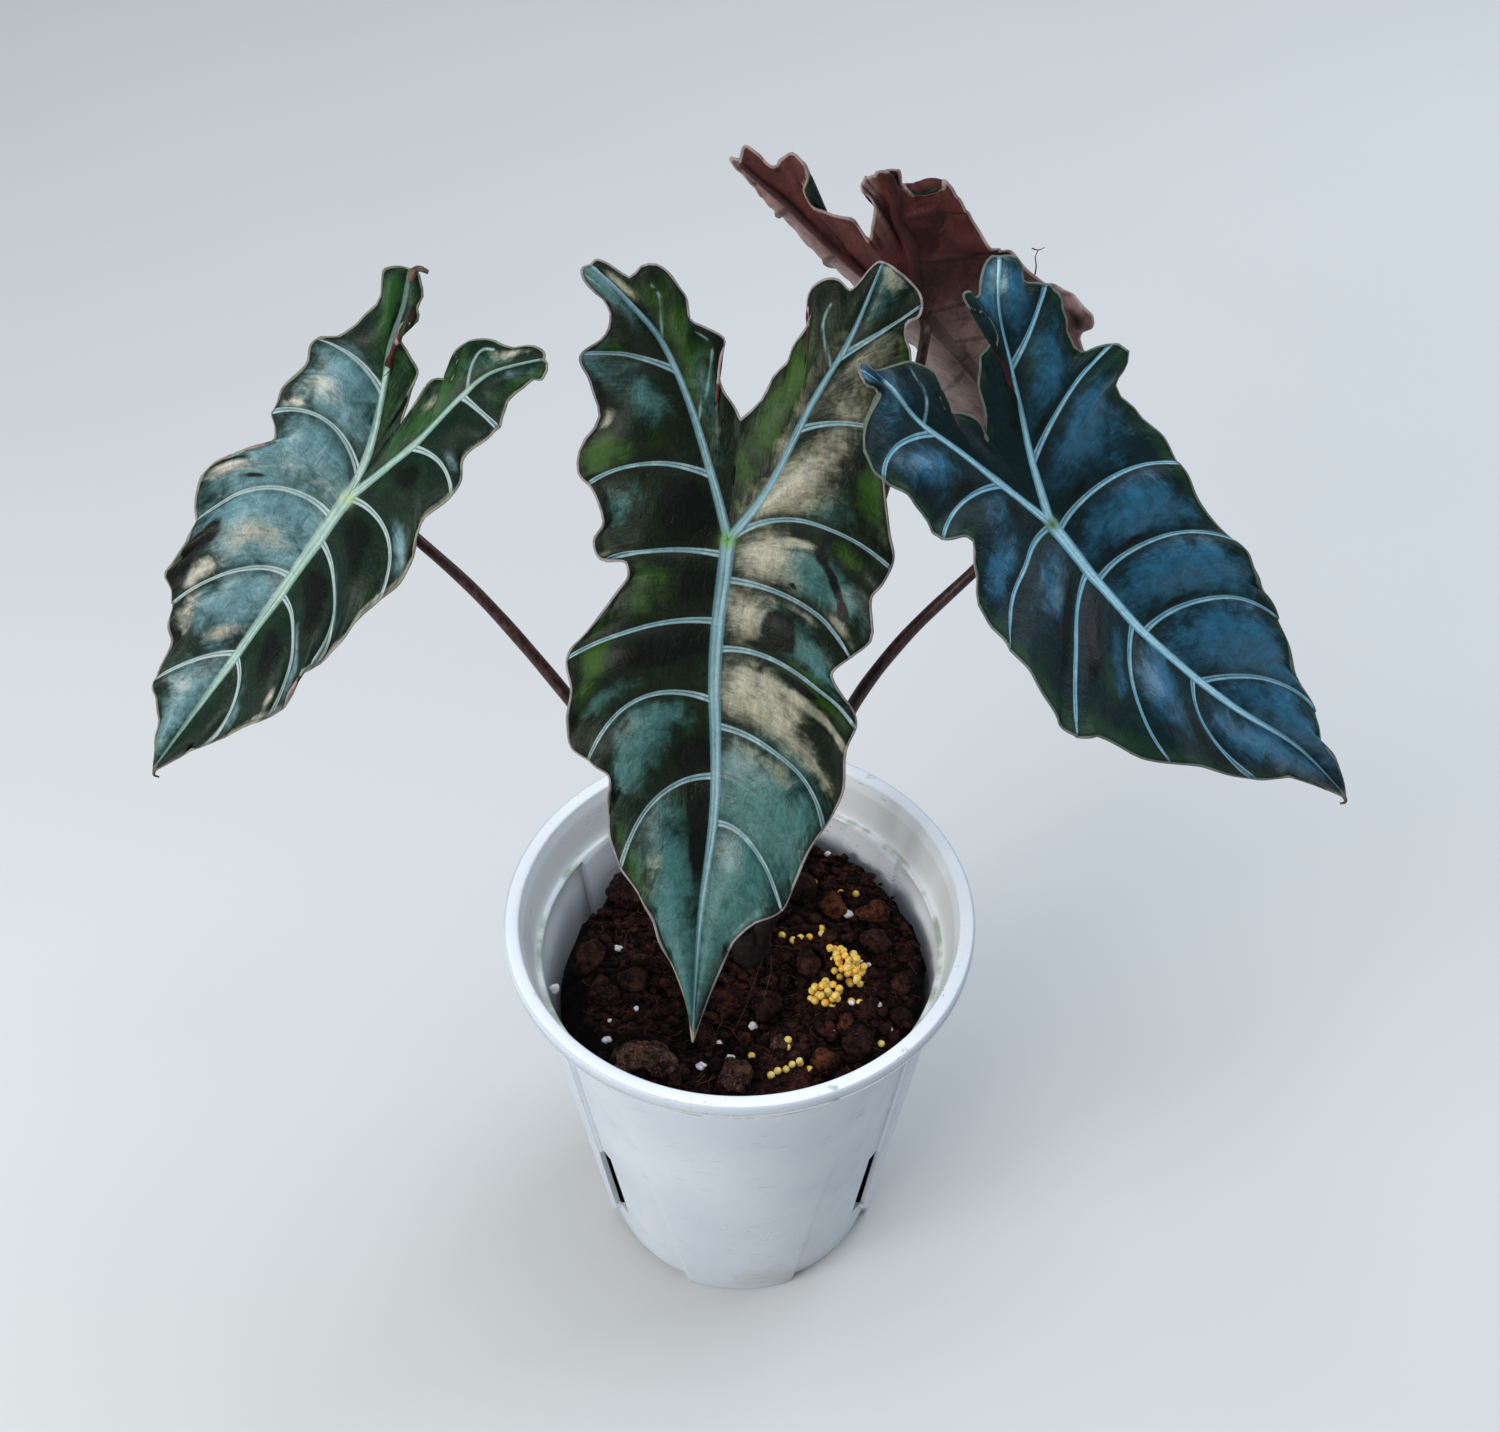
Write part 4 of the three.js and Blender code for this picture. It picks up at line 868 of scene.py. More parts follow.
def paced(line):
    """The same curve, with t spread evenly along its length."""
    steps = np.linspace(0, 1, 401)
    reach = np.concatenate([[0], np.cumsum(np.linalg.norm(np.diff(line(steps), axis=0), axis=1))])
    return lambda t: line(np.interp(t, reach / reach[-1], steps))


def crown_core():
    """The stem base itself, ringed and a little lobed."""
    a = np.linspace(0, 2 * np.pi, CROWN_SIDES, endpoint=False)
    points = []
    for t in np.linspace(0, 1, CROWN_ROWS):
        z = mix(CROWN_FOOT, CROWN_TOP, t)
        r = CROWN_RADIUS * (0.9 - 0.45 * smooth((t - 0.7) / 0.3)) + 0.1 * np.sin(z * 1.9 + 0.7 * np.sin(z))
        r = r * (1 + 0.07 * np.sin(3 * a + z * 0.3) + 0.03 * np.sin(11 * a + z) + 0.02 * np.sin(7 * a - z))
        x, y = CROWN_PLACE[0] + r * np.cos(a), CROWN_PLACE[1] + r * np.sin(a)
        points.append(np.stack([x, y, np.full(CROWN_SIDES, z)], -1) * MM)
    return np.concatenate(points), tube_faces(CROWN_ROWS, CROWN_SIDES)


def sheath(route):
    """The thick foot of a stalk, which leans out of the crown along the stalk's way."""
    top = np.array(route[0], float)
    heading = np.array(route[1], float) - top
    heading /= np.linalg.norm(heading)
    neck = top - SHEATH_BELOW * heading
    foot = (mix(CROWN_PLACE[0], neck[0], 0.4), mix(CROWN_PLACE[1], neck[1], 0.4), SHEATH_FOOT)
    line = paced(smooth_line(np.array([foot, neck, top + SHEATH_ABOVE * heading]) * MM))

    def radius(t):
        ridges = SHEATH_RIDGE * np.sin(28 * t + 2 * np.sin(9 * t))
        return (SHEATH_RADIUS - SHEATH_TAPER * t ** 0.7 + ridges) * MM

    return bar(line, radius, 60, 28)


# Its dark skin colours are darker still as painted shade, for the shade it sits in under the leaves.
crown_look = stem_finish(
    "dark stem skin", ink(11, 7, 7), ink(25, 16, 15), ink(48, 31, 26), 0.85, pits=0.00049)
crown_shapes = [crown_core()] + [sheath(route) for route in STALKS.values()]
settle(mesh_piece("crown_base", *joined(crown_shapes), crown_look), "stem", "crown")

# THE STALKS
# Four firm round leaf stalks, dark maroon and a little streaked, each from its sheath to just under
# its blade. They thin upwards, and swell a little where they meet the leaf.

# Each blade's junction with its stalk, its tip, the degrees that it is rolled and folded by, and how
# far it is arched
STANCES = {
    "front": ((-2.5, 21.7, 286), (-13.7, -52.8, 153), 0, 8, 3),
    "left": ((-108.6, 33.3, 292), (-175.9, 8.8, 206), -38, 22, 2),
    "right": ((86.2, 23.4, 290), (185.5, 10.1, 192), 33, 19, 3),
    "back": ((53.3, 75, 322.7), (105.9, 87.5, 210), -75, 15, 3),
}
FOLD_ROUND = 9                     # half width of the round bottom of the fold, in mm
STALK_RADIUS_LOW = 2.6
STALK_RADIUS_HIGH = 1.5
STALK_ENDS = (7, 0.4)              # how far below the blade its last two points lie


def blade_place(name):
    """Turns flat points u, v and w, in mm, into places on the folded and arched blade, in metres."""
    junction, tip, roll, fold, arch = STANCES[name]
    junction, tip = np.array(junction), np.array(tip)
    length = np.linalg.norm(tip - junction)
    along = (tip - junction) / length
    across = np.cross((0, 0, 1), along)
    across /= np.linalg.norm(across)
    up = np.cross(along, across)
    roll, fold = np.radians(roll), np.radians(fold)
    v_way = across * np.cos(roll) + up * np.sin(roll)
    w_way = up * np.cos(roll) - across * np.sin(roll)

    def at(points):
        u, v, w = np.moveaxis(np.asarray(points, float), -1, 0)
        x = np.clip(u / length, 0, 1)
        aside = np.abs(v)
        rise = np.where(aside < FOLD_ROUND, v ** 2 / (2 * FOLD_ROUND) + FOLD_ROUND / 2, aside)
        height = rise * np.sin(fold) + w + 4 * arch * x * (1 - x)
        level = junction + np.multiply.outer(u, along) + np.multiply.outer(v * np.cos(fold), v_way)
        return (level + np.multiply.outer(height, w_way)) * MM

    return at


def stalk(name):
    """A stalk along its way, on to a point just under its blade."""
    under = blade_place(name)
    top = [under((-0.5, 0, -depth)) / MM for depth in STALK_ENDS]
    line = paced(smooth_line(np.array([*STALKS[name], *top]) * MM))

    def radius(t):
        swelling = 1 + 0.015 * np.sin(60 * t) + 0.12 * np.exp(-((t - 1) / 0.03) ** 2)
        return mix(STALK_RADIUS_LOW, STALK_RADIUS_HIGH, t) * swelling * MM

    return bar(line, radius, 120, 24)


stalk_look = stem_finish(
    "maroon stalk skin", ink(38, 23, 21), ink(68, 42, 36), ink(92, 64, 54), 0.4, pits=0.00005)
for name in STALKS:
    settle(mesh_piece("petiole_" + name, *stalk(name), stalk_look), "stem", "stalk_" + name)

# THE LEAF BLADES
# Four stiff glossy blades like arrowheads with waved, notched edges. A pale midrib and two rear ribs
# carry side veins that sink into the top face, and the blade bulges up between them. The top is
# green-black to blue-green, and the underside is burgundy.

# The sides of the blades, drawn flat in mm. u runs from the junction to the tip and v to the side. A
# third number is how far that place is curled up. "rib" is the rear rib, "outer" the edge from the
# lobe's tip to the leaf's tip, "inner" the edge from the notch to the lobe's tip, "veins" the side veins,
# and "free" small veins that start elsewhere. "marks" are soft patches of a tint, each with its place
# across the veins and from rib to edge, its reach in both ways, and its strength. The bluish and tan
# sheens are painted reflections, the deep patches painted shade, and the pale patches on the
# underside painted light.
FRONT_LEFT_SIDE = {
    "rib": [[-18, -6], [-41, -15], [-55, -23], [-65, -33], [-72.5, -42.5]],
    "outer": [
        [-71.5, -44.5], [-69, -44], [-66, -41.5], [-63.5, -38.5], [-60.5, -37], [-57, -36.8],
        [-53, -38.5], [-48, -44], [-42, -41], [-37, -39], [-31, -38], [-23, -43], [-15, -43],
        [-12, -39], [-3, -35], [3, -38], [8, -36], [8, -28], [11, -27], [18, -31], [29, -38], [36, -43],
        [45, -41], [55, -42], [63, -41], [67, -34], [70, -29], [79, -29], [90, -28], [97, -25],
        [106, -18], [113, -14], [122, -11], [132, -6], [143, -2],
    ],
    "inner": [
        [-37, -1], [-41, -4], [-45, -6], [-50, -6], [-55, -5], [-57, -7.5], [-58.5, -11.5],
        [-60, -14.5], [-65, -16], [-68, -18], [-72, -21.5], [-74, -25.5], [-73, -29], [-70, -31.5],
        [-71.5, -35], [-73.2, -38], [-74, -41],
    ],
    "veins": [
        [[-45, -19], [-49, -30], [-48, -43]], [[-17, -8], [-20, -24], [-13, -40]],
        [[4, -1], [4, -20], [7, -34]], [[23, 0], [26, -22], [37, -41]],
        [[46, -1], [47, -22], [66, -35]], [[68, 0], [76, -15], [98, -24]],
    ],
    "free": [[[-53, -22], [-65, -23], [-70, -27]], [[-32, -11], [-47, -8], [-54, -9], [-57, -13]]],
    "marks": {
        "cool_sheen": [
            (0.05, 0.6, 0.25, 0.5, 0.9), (0.5, 0.55, 0.3, 0.35, 0.6), (1.35, 0.5, 0.25, 0.3, 0.6),
            (1.1, 0.9, 0.15, 0.15, 0.6), (2.35, 0.78, 0.25, 0.2, 0.5), (4.65, 0.65, 0.15, 0.22, 0.5),
            (5.4, 0.65, 0.35, 0.3, 0.8), (5.25, 0.3, 0.2, 0.2, 0.3), (6.4, 0.55, 0.35, 0.4, 0.95),
            (6.85, 0.4, 0.25, 0.6, 0.8), (-1.3, 0.5, 0.2, 0.3, 0.5),
        ],
        "warm_sheen": [
            (1.55, 0.88, 0.08, 0.1, 0.8), (0.1, 0.85, 0.1, 0.1, 0.4), (2.9, 0.95, 0.06, 0.1, 0.5),
            (-1.2, 0.6, 0.06, 0.2, 0.6), (-1.85, 0.45, 0.08, 0.25, 0.7), (6.2, 0.75, 0.1, 0.2, 0.4),
        ],
        "moss": [
            (1.8, 0.8, 0.2, 0.2, 0.8), (3.5, 0.6, 0.35, 0.4, 0.4), (4.2, 0.85, 0.3, 0.12, 0.7),
            (0.9, 0.75, 0.2, 0.2, 0.5), (-1.5, 0.5, 0.3, 0.4, 0.7), (6.1, 0.9, 0.3, 0.1, 0.5),
        ],
        "deep": [
            (2.5, 0.25, 0.5, 0.3, 0.8), (3.5, 0.2, 0.4, 0.3, 0.6), (4.3, 0.35, 0.3, 0.4, 0.8),
            (5.75, 0.12, 0.25, 0.2, 1), (6.2, 0.12, 0.2, 0.15, 0.9), (0.6, 0.15, 0.3, 0.15, 0.6),
        ],
    },
}
FRONT_RIGHT_SIDE = {
    "rib": [[-15, 10], [-39, 20], [-57, 29], [-72, 34.5], [-79.5, 37]],
    "outer": [
        [-79, 39], [-77, 42], [-74.5, 45], [-71, 48], [-66.5, 48], [-64.5, 45], [-61.5, 44.5],
        [-56, 46.5], [-48, 46], [-36, 45], [-28, 42], [-19, 43], [-8, 45], [0, 47], [6, 45], [11, 42],
        [23, 43], [28, 38], [33, 33], [41, 37], [47, 41], [54, 39], [67, 39], [76, 36], [85, 31],
        [98, 27], [106, 24], [110, 17], [117, 11], [128, 7], [141, 3],
    ],
    "inner": [
        [-38, 5], [-41, 7], [-47, 9.5], [-51, 13], [-55, 14], [-60, 17], [-63.5, 18.5], [-67, 17],
        [-71, 18], [-73.5, 21], [-74, 25], [-71.5, 28.5], [-74, 31], [-77, 33], [-79.5, 35.5],
    ],
    "veins": [
        [[-53, 28], [-62, 39], [-69, 47]], [[-33, 17], [-36, 30], [-34, 45]],
        [[0, 1], [-8, 21], [2, 46]], [[11, 0], [15, 22], [28, 37]], [[31, 0], [33, 19], [48, 39]],
        [[53, 0], [61, 23], [79, 34]], [[82, 1], [87, 14], [106, 24]],
    ],
    "free": [[[-51, 25], [-62, 22], [-68, 24]]],
    "marks": {
        "cool_sheen": [
            (0.5, 0.5, 0.4, 0.5, 0.5), (3.6, 0.55, 0.25, 0.35, 0.9), (4.5, 0.6, 0.35, 0.4, 0.6),
            (4.6, 0.85, 0.3, 0.12, 0.8), (6.5, 0.5, 0.45, 0.6, 0.95), (7.4, 0.5, 0.5, 0.6, 0.9),
            (5.8, 0.6, 0.2, 0.4, 0.4), (2.8, 0.6, 0.2, 0.2, 0.4),
        ],
        "warm_sheen": [
            (0.4, 0.75, 0.3, 0.25, 0.55), (1.5, 0.5, 0.45, 0.5, 0.45), (2.65, 0.25, 0.3, 0.3, 0.85),
            (2.2, 0.5, 0.3, 0.3, 0.4), (3.5, 0.25, 0.4, 0.25, 0.75), (4.45, 0.2, 0.4, 0.18, 0.7),
            (5.5, 0.3, 0.35, 0.35, 0.8), (5.25, 0.75, 0.04, 0.35, 1), (5.75, 0.75, 0.12, 0.2, 0.6),
            (3.9, 0.82, 0.07, 0.12, 0.8), (3.3, 0.5, 0.05, 0.12, 0.8), (4.1, 0.6, 0.05, 0.15, 0.5),
            (-1.4, 0.2, 0.4, 0.2, 0.5), (6.15, 0.4, 0.12, 0.3, 0.4),
        ],
        "moss": [
            (2.5, 0.9, 0.3, 0.12, 0.8), (1.6, 0.95, 0.3, 0.1, 0.6), (5.1, 0.7, 0.07, 0.3, 0.9),
            (-1.3, 0.6, 0.4, 0.4, 0.7), (3.2, 0.8, 0.15, 0.15, 0.5), (4.9, 0.7, 0.1, 0.2, 0.6),
        ],
        "deep": [
            (4.35, 0.5, 0.16, 0.12, 1), (4.6, 0.45, 0.2, 0.14, 0.9), (5.12, 0.6, 0.07, 0.2, 0.8),
            (3.34, 0.64, 0.12, 0.05, 0.9), (3.55, 0.71, 0.12, 0.05, 0.9), (3.75, 0.78, 0.1, 0.05, 0.9),
            (3.78, 0.42, 0.05, 0.03, 1), (2.3, 0.8, 0.15, 0.1, 0.6), (-1.6, 0.8, 0.2, 0.2, 0.6),
            (4.85, 0.3, 0.08, 0.15, 0.6),
        ],
    },
}
LEFT_FAR_SIDE = {
    "rib": [[-15, -3], [-31, -9], [-43, -14], [-56, -18], [-65, -22]],
    "outer": [
        [-64, -24.5], [-62, -26.5], [-59.5, -27], [-56, -25.5], [-52, -25], [-45, -26], [-37, -28],
        [-33, -32], [-25, -30], [-15, -33], [-7, -30], [-1, -26], [7, -31], [18, -37], [26, -37],
        [35, -30], [45, -29], [54, -30], [60, -23], [70, -18], [85, -15], [91, -10], [102, -6],
    ],
    "inner": [
        [-35, -3], [-40, -4], [-43, -6], [-45, -10], [-46, -12.5], [-47.4, -14.4], [-49, -15],
        [-51, -15.2, 1], [-52.5, -14.5, 1], [-53.5, -12.8, 1], [-56, -13, 1], [-57.5, -14.8, 1],
        [-60.5, -15.3], [-63, -17.5], [-65.3, -20],
    ],
    "veins": [
        [[-31, -9], [-35, -20], [-33, -32]], [[-7, -1], [-15, -17], [-8, -30]],
        [[8, 0], [12, -20], [33, -30]], [[30, 1], [38, -13], [60, -23]], [[60, 1], [70, -8], [85, -15]],
    ],
    "free": [],
    "marks": {
        "cool_sheen": [
            (1.15, 0.5, 0.22, 0.5, 0.8), (1.6, 0.45, 0.3, 0.45, 0.75), (2.4, 0.5, 0.45, 0.6, 0.85),
            (3.2, 0.45, 0.35, 0.5, 0.9), (3.7, 0.3, 0.25, 0.4, 0.75), (4.35, 0.35, 0.35, 0.45, 0.85),
            (5.4, 0.4, 0.45, 0.5, 0.8),
        ],
        "warm_sheen": [
            (1.6, 0.65, 0.2, 0.25, 0.5), (1.9, 0.85, 0.07, 0.1, 0.7), (2.6, 0.3, 0.3, 0.3, 0.3),
            (2.75, 0.78, 0.08, 0.18, 0.8), (3.55, 0.42, 0.25, 0.3, 0.5), (4.3, 0.85, 0.3, 0.12, 0.5),
            (5.3, 0.55, 0.15, 0.25, 0.4), (4.72, 0.35, 0.1, 0.25, 0.5), (3.85, 0.8, 0.1, 0.2, 0.6),
        ],
        "moss": [
            (0.4, 0.4, 0.4, 0.5, 0.8), (1.1, 0.15, 0.2, 0.15, 0.6), (5.8, 0.7, 0.3, 0.3, 0.5),
            (-1.5, 0.5, 0.5, 0.6, 0.6),
        ],
        "deep": [
            (3.45, 0.84, 0.26, 0.2, 1), (3.8, 0.98, 0.16, 0.1, 1), (4.85, 0.55, 0.04, 0.2, 0.5),
            (2.88, 0.6, 0.03, 0.12, 0.6), (0.5, 0.15, 0.3, 0.2, 0.6), (-1.4, 0.3, 0.4, 0.3, 0.5),
        ],
        "blush": [(-1.72, 0.6, 0.05, 0.5, 1)],
    },
}
LEFT_NEAR_SIDE = {
    "rib": [[-9, 3], [-31, 9], [-49, 12], [-58, 15], [-65, 20], [-73, 27]],
    "outer": [
        [-73.5, 29.5], [-72, 31], [-69.5, 31], [-67.5, 28.2], [-64, 26.5], [-60, 25], [-56, 24.5],
        [-51, 28], [-46, 28], [-36, 24], [-28, 29], [-15, 27], [-6, 30], [3, 32], [16, 30], [31, 29],
        [42, 26], [45, 25], [57, 26], [64, 24], [71, 20], [87, 12], [96, 7],
    ],
    "inner": [
        [-33, 0], [-40, -0.5], [-43, -0.5], [-46, 2.5], [-48, 5.5], [-50.5, 5.2], [-53, 3],
        [-53.5, 0.6], [-56, 0.8], [-59, 2.2], [-62, 5], [-65, 9.5], [-66.3, 13], [-68, 16], [-71.3, 19],
        [-73.6, 22.5], [-74.3, 25.5],
    ],
    "veins": [
        [[-47, 13], [-49, 19], [-50, 28]], [[-25, 8], [-30, 19], [-27, 29]],
        [[0, 0], [-3, 19], [10, 30]], [[15, 0], [24, 21], [44, 25]], [[36, 1], [43, 17], [64, 24]],
        [[61, 1], [72, 11], [91, 10]],
    ],
    "free": [[[-47, 13], [-60, 8], [-64, 12]]],
    "marks": {
        "cool_sheen": [
            (1.85, 0.7, 0.12, 0.25, 0.5), (2.85, 0.7, 0.12, 0.25, 0.7), (3.85, 0.65, 0.12, 0.3, 0.75),
            (4.85, 0.6, 0.12, 0.3, 0.65), (5.85, 0.6, 0.12, 0.3, 0.55), (0.5, 0.5, 0.3, 0.3, 0.4),
            (-1.7, 0.5, 0.2, 0.3, 0.3),
        ],
        "warm_sheen": [
            (3.5, 0.98, 3, 0.05, 0.6), (4.85, 0.55, 0.04, 0.2, 0.4), (5.2, 0.8, 0.08, 0.1, 0.5),
            (-1.8, 0.7, 0.1, 0.2, 0.5), (-1.25, 0.7, 0.05, 0.15, 0.4),
        ],
        "moss": [(0.5, 0.8, 0.5, 0.3, 0.6), (-1.4, 0.4, 0.4, 0.5, 0.7), (2.4, 0.3, 0.4, 0.3, 0.35)],
        "deep": [
            (2.35, 0.3, 0.3, 0.3, 0.6), (3.35, 0.3, 0.3, 0.3, 0.7), (4.4, 0.3, 0.3, 0.3, 0.8),
            (5.4, 0.4, 0.3, 0.3, 0.7),
        ],
    },
}
RIGHT_NEAR_SIDE = {
    "rib": [[-11, -1], [-35, -3], [-52, -5], [-66, -4.2], [-76, -7.5, 3]],
    "outer": [
        [-75, -9.5, 3], [-72.5, -10.3, 2.5], [-69.5, -8.2, 2], [-67, -7.8, 1.5], [-66.5, -11, 1],
        [-65.5, -19], [-61.5, -27], [-55, -29.5], [-46, -28.5], [-35, -30], [-32, -31], [-25, -25],
        [-19, -32], [-12, -40], [-4, -43], [7, -48], [22, -53], [29, -54], [36, -49], [56, -43],
        [74, -33], [100, -20], [112, -11], [130, -3],
    ],
    "inner": [
        [-36, 7.8], [-41, 7.3], [-46.5, 3.4], [-50.5, 4], [-52, 7], [-56.5, 9.3], [-63, 7.3],
        [-66.5, 3], [-69, -0.5], [-72, -3.6, 2], [-75, -4, 3], [-76.6, -5.6, 3],
    ],
    "veins": [
        [[-46, -6], [-56, -18], [-56, -30]], [[-20, -2], [-30, -16], [-32, -31]],
        [[0, 0], [-5, -24], [0, -45]], [[17, -4], [18, -24], [29, -54]],
        [[37, -9], [44, -28], [64, -40]], [[64, -8], [74, -20], [98, -21]],
    ],
    "free": [[[-50, -5], [-55, 2], [-63, 5]]],
    "marks": {
        "cool_sheen": [
            (0.1, 0.5, 0.2, 0.6, 0.8), (0.6, 0.4, 0.3, 0.4, 0.5), (1.35, 0.5, 0.3, 0.35, 0.7),
            (2.3, 0.35, 0.25, 0.25, 0.5), (2.75, 0.6, 0.2, 0.3, 0.7), (3.4, 0.35, 0.25, 0.3, 0.6),
            (5.4, 0.35, 0.3, 0.35, 0.8), (4.75, 0.4, 0.15, 0.25, 0.55), (6.4, 0.45, 0.4, 0.4, 0.75),
            (-1.85, 0.6, 0.2, 0.6, 0.8),
        ],
        "warm_sheen": [(0.02, 0.9, 0.06, 0.2, 0.7)],
        "moss": [(3, 1, 9, 0.14, 0.8), (4.5, 0.6, 0.3, 0.25, 0.4)],
        "deep": [
            (1.85, 0.4, 0.2, 0.3, 0.6), (2.5, 0.15, 0.3, 0.15, 0.6), (3.75, 0.5, 0.15, 0.4, 0.8),
            (4.3, 0.45, 0.2, 0.35, 0.8), (5.8, 0.6, 0.15, 0.3, 0.6),
        ],
    },
}
RIGHT_FAR_SIDE = {
    "rib": [[-10, 6], [-22, 13], [-39, 24], [-53, 33], [-62.5, 43.5]],
    "outer": [
        [-60, 45.3], [-56, 45.8], [-52, 44.5], [-49.5, 45.7], [-46, 47.5], [-42, 47], [-37, 44],
        [-31, 41.3], [-26.5, 41.5], [-24, 42.5, 0.5], [-22.5, 45.5, 1.5], [-19, 48.3, 2],
        [-15.5, 47.6, 2], [-12.8, 44.8, 1], [-10.5, 41.5], [0, 41], [13, 40], [28, 34], [50, 32],
        [61, 29], [72, 28], [87, 19], [108, 14], [118, 6], [134, 5],
    ],
    "inner": [
        [-34, 9], [-40, 13], [-45, 17], [-48, 21], [-48.3, 25], [-54, 28.5, 1], [-61.5, 26.7, 3],
        [-65, 28.2, 4], [-63.5, 29.9, 3], [-61, 30.3, 2], [-60.6, 33, 1], [-62.8, 36.5], [-64, 40],
        [-63.9, 42.3],
    ],
    "veins": [
        [[-39, 24], [-43, 38], [-47, 48]], [[-16, 9], [-21, 28], [-18, 44]],
        [[3, -1], [6, 22], [20, 37]], [[21, -5], [30, 19], [50, 32]], [[42, -8], [56, 16], [78, 24]],
        [[67, -6], [88, 9], [110, 12]],
    ],
    "free": [],
    "marks": {
        "cool_sheen": [
            (0.5, 0.4, 0.4, 0.4, 0.7), (1.5, 0.5, 0.35, 0.4, 0.65), (2.5, 0.5, 0.35, 0.4, 0.85),
            (3.5, 0.5, 0.35, 0.4, 0.9), (4.5, 0.5, 0.38, 0.45, 1), (5.5, 0.5, 0.38, 0.45, 1),
            (6.4, 0.45, 0.4, 0.5, 0.85), (-1.8, 0.7, 0.2, 0.5, 0.9),
        ],
        "warm_sheen": [
            (0.3, 0.15, 0.08, 0.15, 0.6), (0.05, 0.8, 0.1, 0.25, 0.7), (4.55, 0.6, 0.03, 0.12, 0.25),
            (5.3, 0.3, 0.04, 0.15, 0.3), (-1.9, 0.5, 0.15, 0.4, 0.6),
        ],
        "moss": [
            (1.2, 0.3, 0.2, 0.2, 0.5), (2.2, 0.75, 0.2, 0.2, 0.4), (3, 1, 9, 0.12, 0.8),
            (1.7, 0.7, 0.15, 0.2, 0.4),
        ],
        "deep": [
            (1.85, 0.25, 0.15, 0.2, 0.5), (2.9, 0.25, 0.1, 0.2, 0.5), (3.88, 0.3, 0.1, 0.25, 0.5),
            (4.9, 0.3, 0.08, 0.25, 0.5), (-1.4, 0.4, 0.3, 0.4, 0.6),
        ],
    },
}
BACK_RIGHT_SIDE = {
    "rib": [[-14, -3], [-24, -6], [-36, -6], [-43, -8], [-51, -9]],
    "outer": [
        [-48, -12], [-43, -10.5], [-39, -12], [-37, -16], [-36.6, -20.4], [-39.8, -22], [-39.6, -22.7],
        [-35.8, -23], [-29, -23.5], [-19, -24], [-10, -27], [-2, -31], [11, -36], [19, -41, -3],
        [26, -44, -5], [32, -38, -2], [44, -36], [56, -36], [79, -29], [97, -19], [113, -9],
    ],
    "inner": [[-37, 1], [-43, -2], [-47, 0, 3], [-49, -2, 4], [-50, -5, 2], [-52, -7]],
    "veins": [
        [[-35, -6], [-31, -16], [-26, -24]], [[-20, -5], [-15, -14], [-9, -27]],
        [[-2, 0], [3, -16], [11, -36]], [[12, -3], [21, -20], [34, -37]],
        [[42, -7], [51, -23], [67, -33]], [[73, -6], [81, -17], [96, -21]],
    ],
    "free": [],
    "marks": {
        "cool_sheen": [(3, 0.5, 4, 0.6, 0.4)],
        "moss": [(3, 1, 9, 0.12, 0.6)],
        "pale": [
            (5.2, 0.4, 1.3, 0.8, 0.6), (3.8, 0.3, 0.8, 0.45, 0.7), (3.4, 0.98, 0.5, 0.12, 0.5),
            (-1.45, 0.9, 0.2, 0.25, 0.9),
        ],
        "deep": [(3.6, 0.9, 0.16, 0.05, 1)],
    },
}
BACK_LEFT_SIDE = {
    "rib": [[-22, 11], [-37, 17], [-49, 21], [-59, 25], [-67, 28]],
    "outer": [
        [-65, 32, 2], [-55, 30, 6], [-44, 29, 9], [-29, 27, 12], [-14, 22, 15], [2, 19, 17],
        [20, 15, 19], [38, 13, 19], [56, 13, 18], [71, 12, 14], [92, 11, 9], [113, 6, 4],
    ],
    "inner": [
        [-36, 5], [-41, 6], [-44, 12], [-48, 15], [-53, 15], [-58, 11.5], [-62.5, 10.5], [-65.8, 12.5],
        [-65.3, 16], [-62.8, 18.8], [-65, 21.3], [-68.5, 22], [-71, 24.5],
    ],
    "veins": [
        [[-49, 21], [-45, 26], [-40, 29]], [[-30, 14], [-24, 21], [-12, 26]],
        [[-4, 2], [4, 11], [28, 18]], [[24, -5], [34, 4], [49, 14]], [[55, -7], [65, 1], [77, 13]],
        [[87, -4], [95, 2], [105, 8]],
    ],
    "free": [],
    "marks": {
        "cool_sheen": [(3, 0.5, 4, 0.6, 0.4)],
        "moss": [(3, 1, 9, 0.12, 0.6)],
        "pale": [(2.5, 0.65, 2.4, 0.5, 0.9)],
        "blush": [(0.6, 0.9, 0.3, 0.1, 0.8)],
    },
}
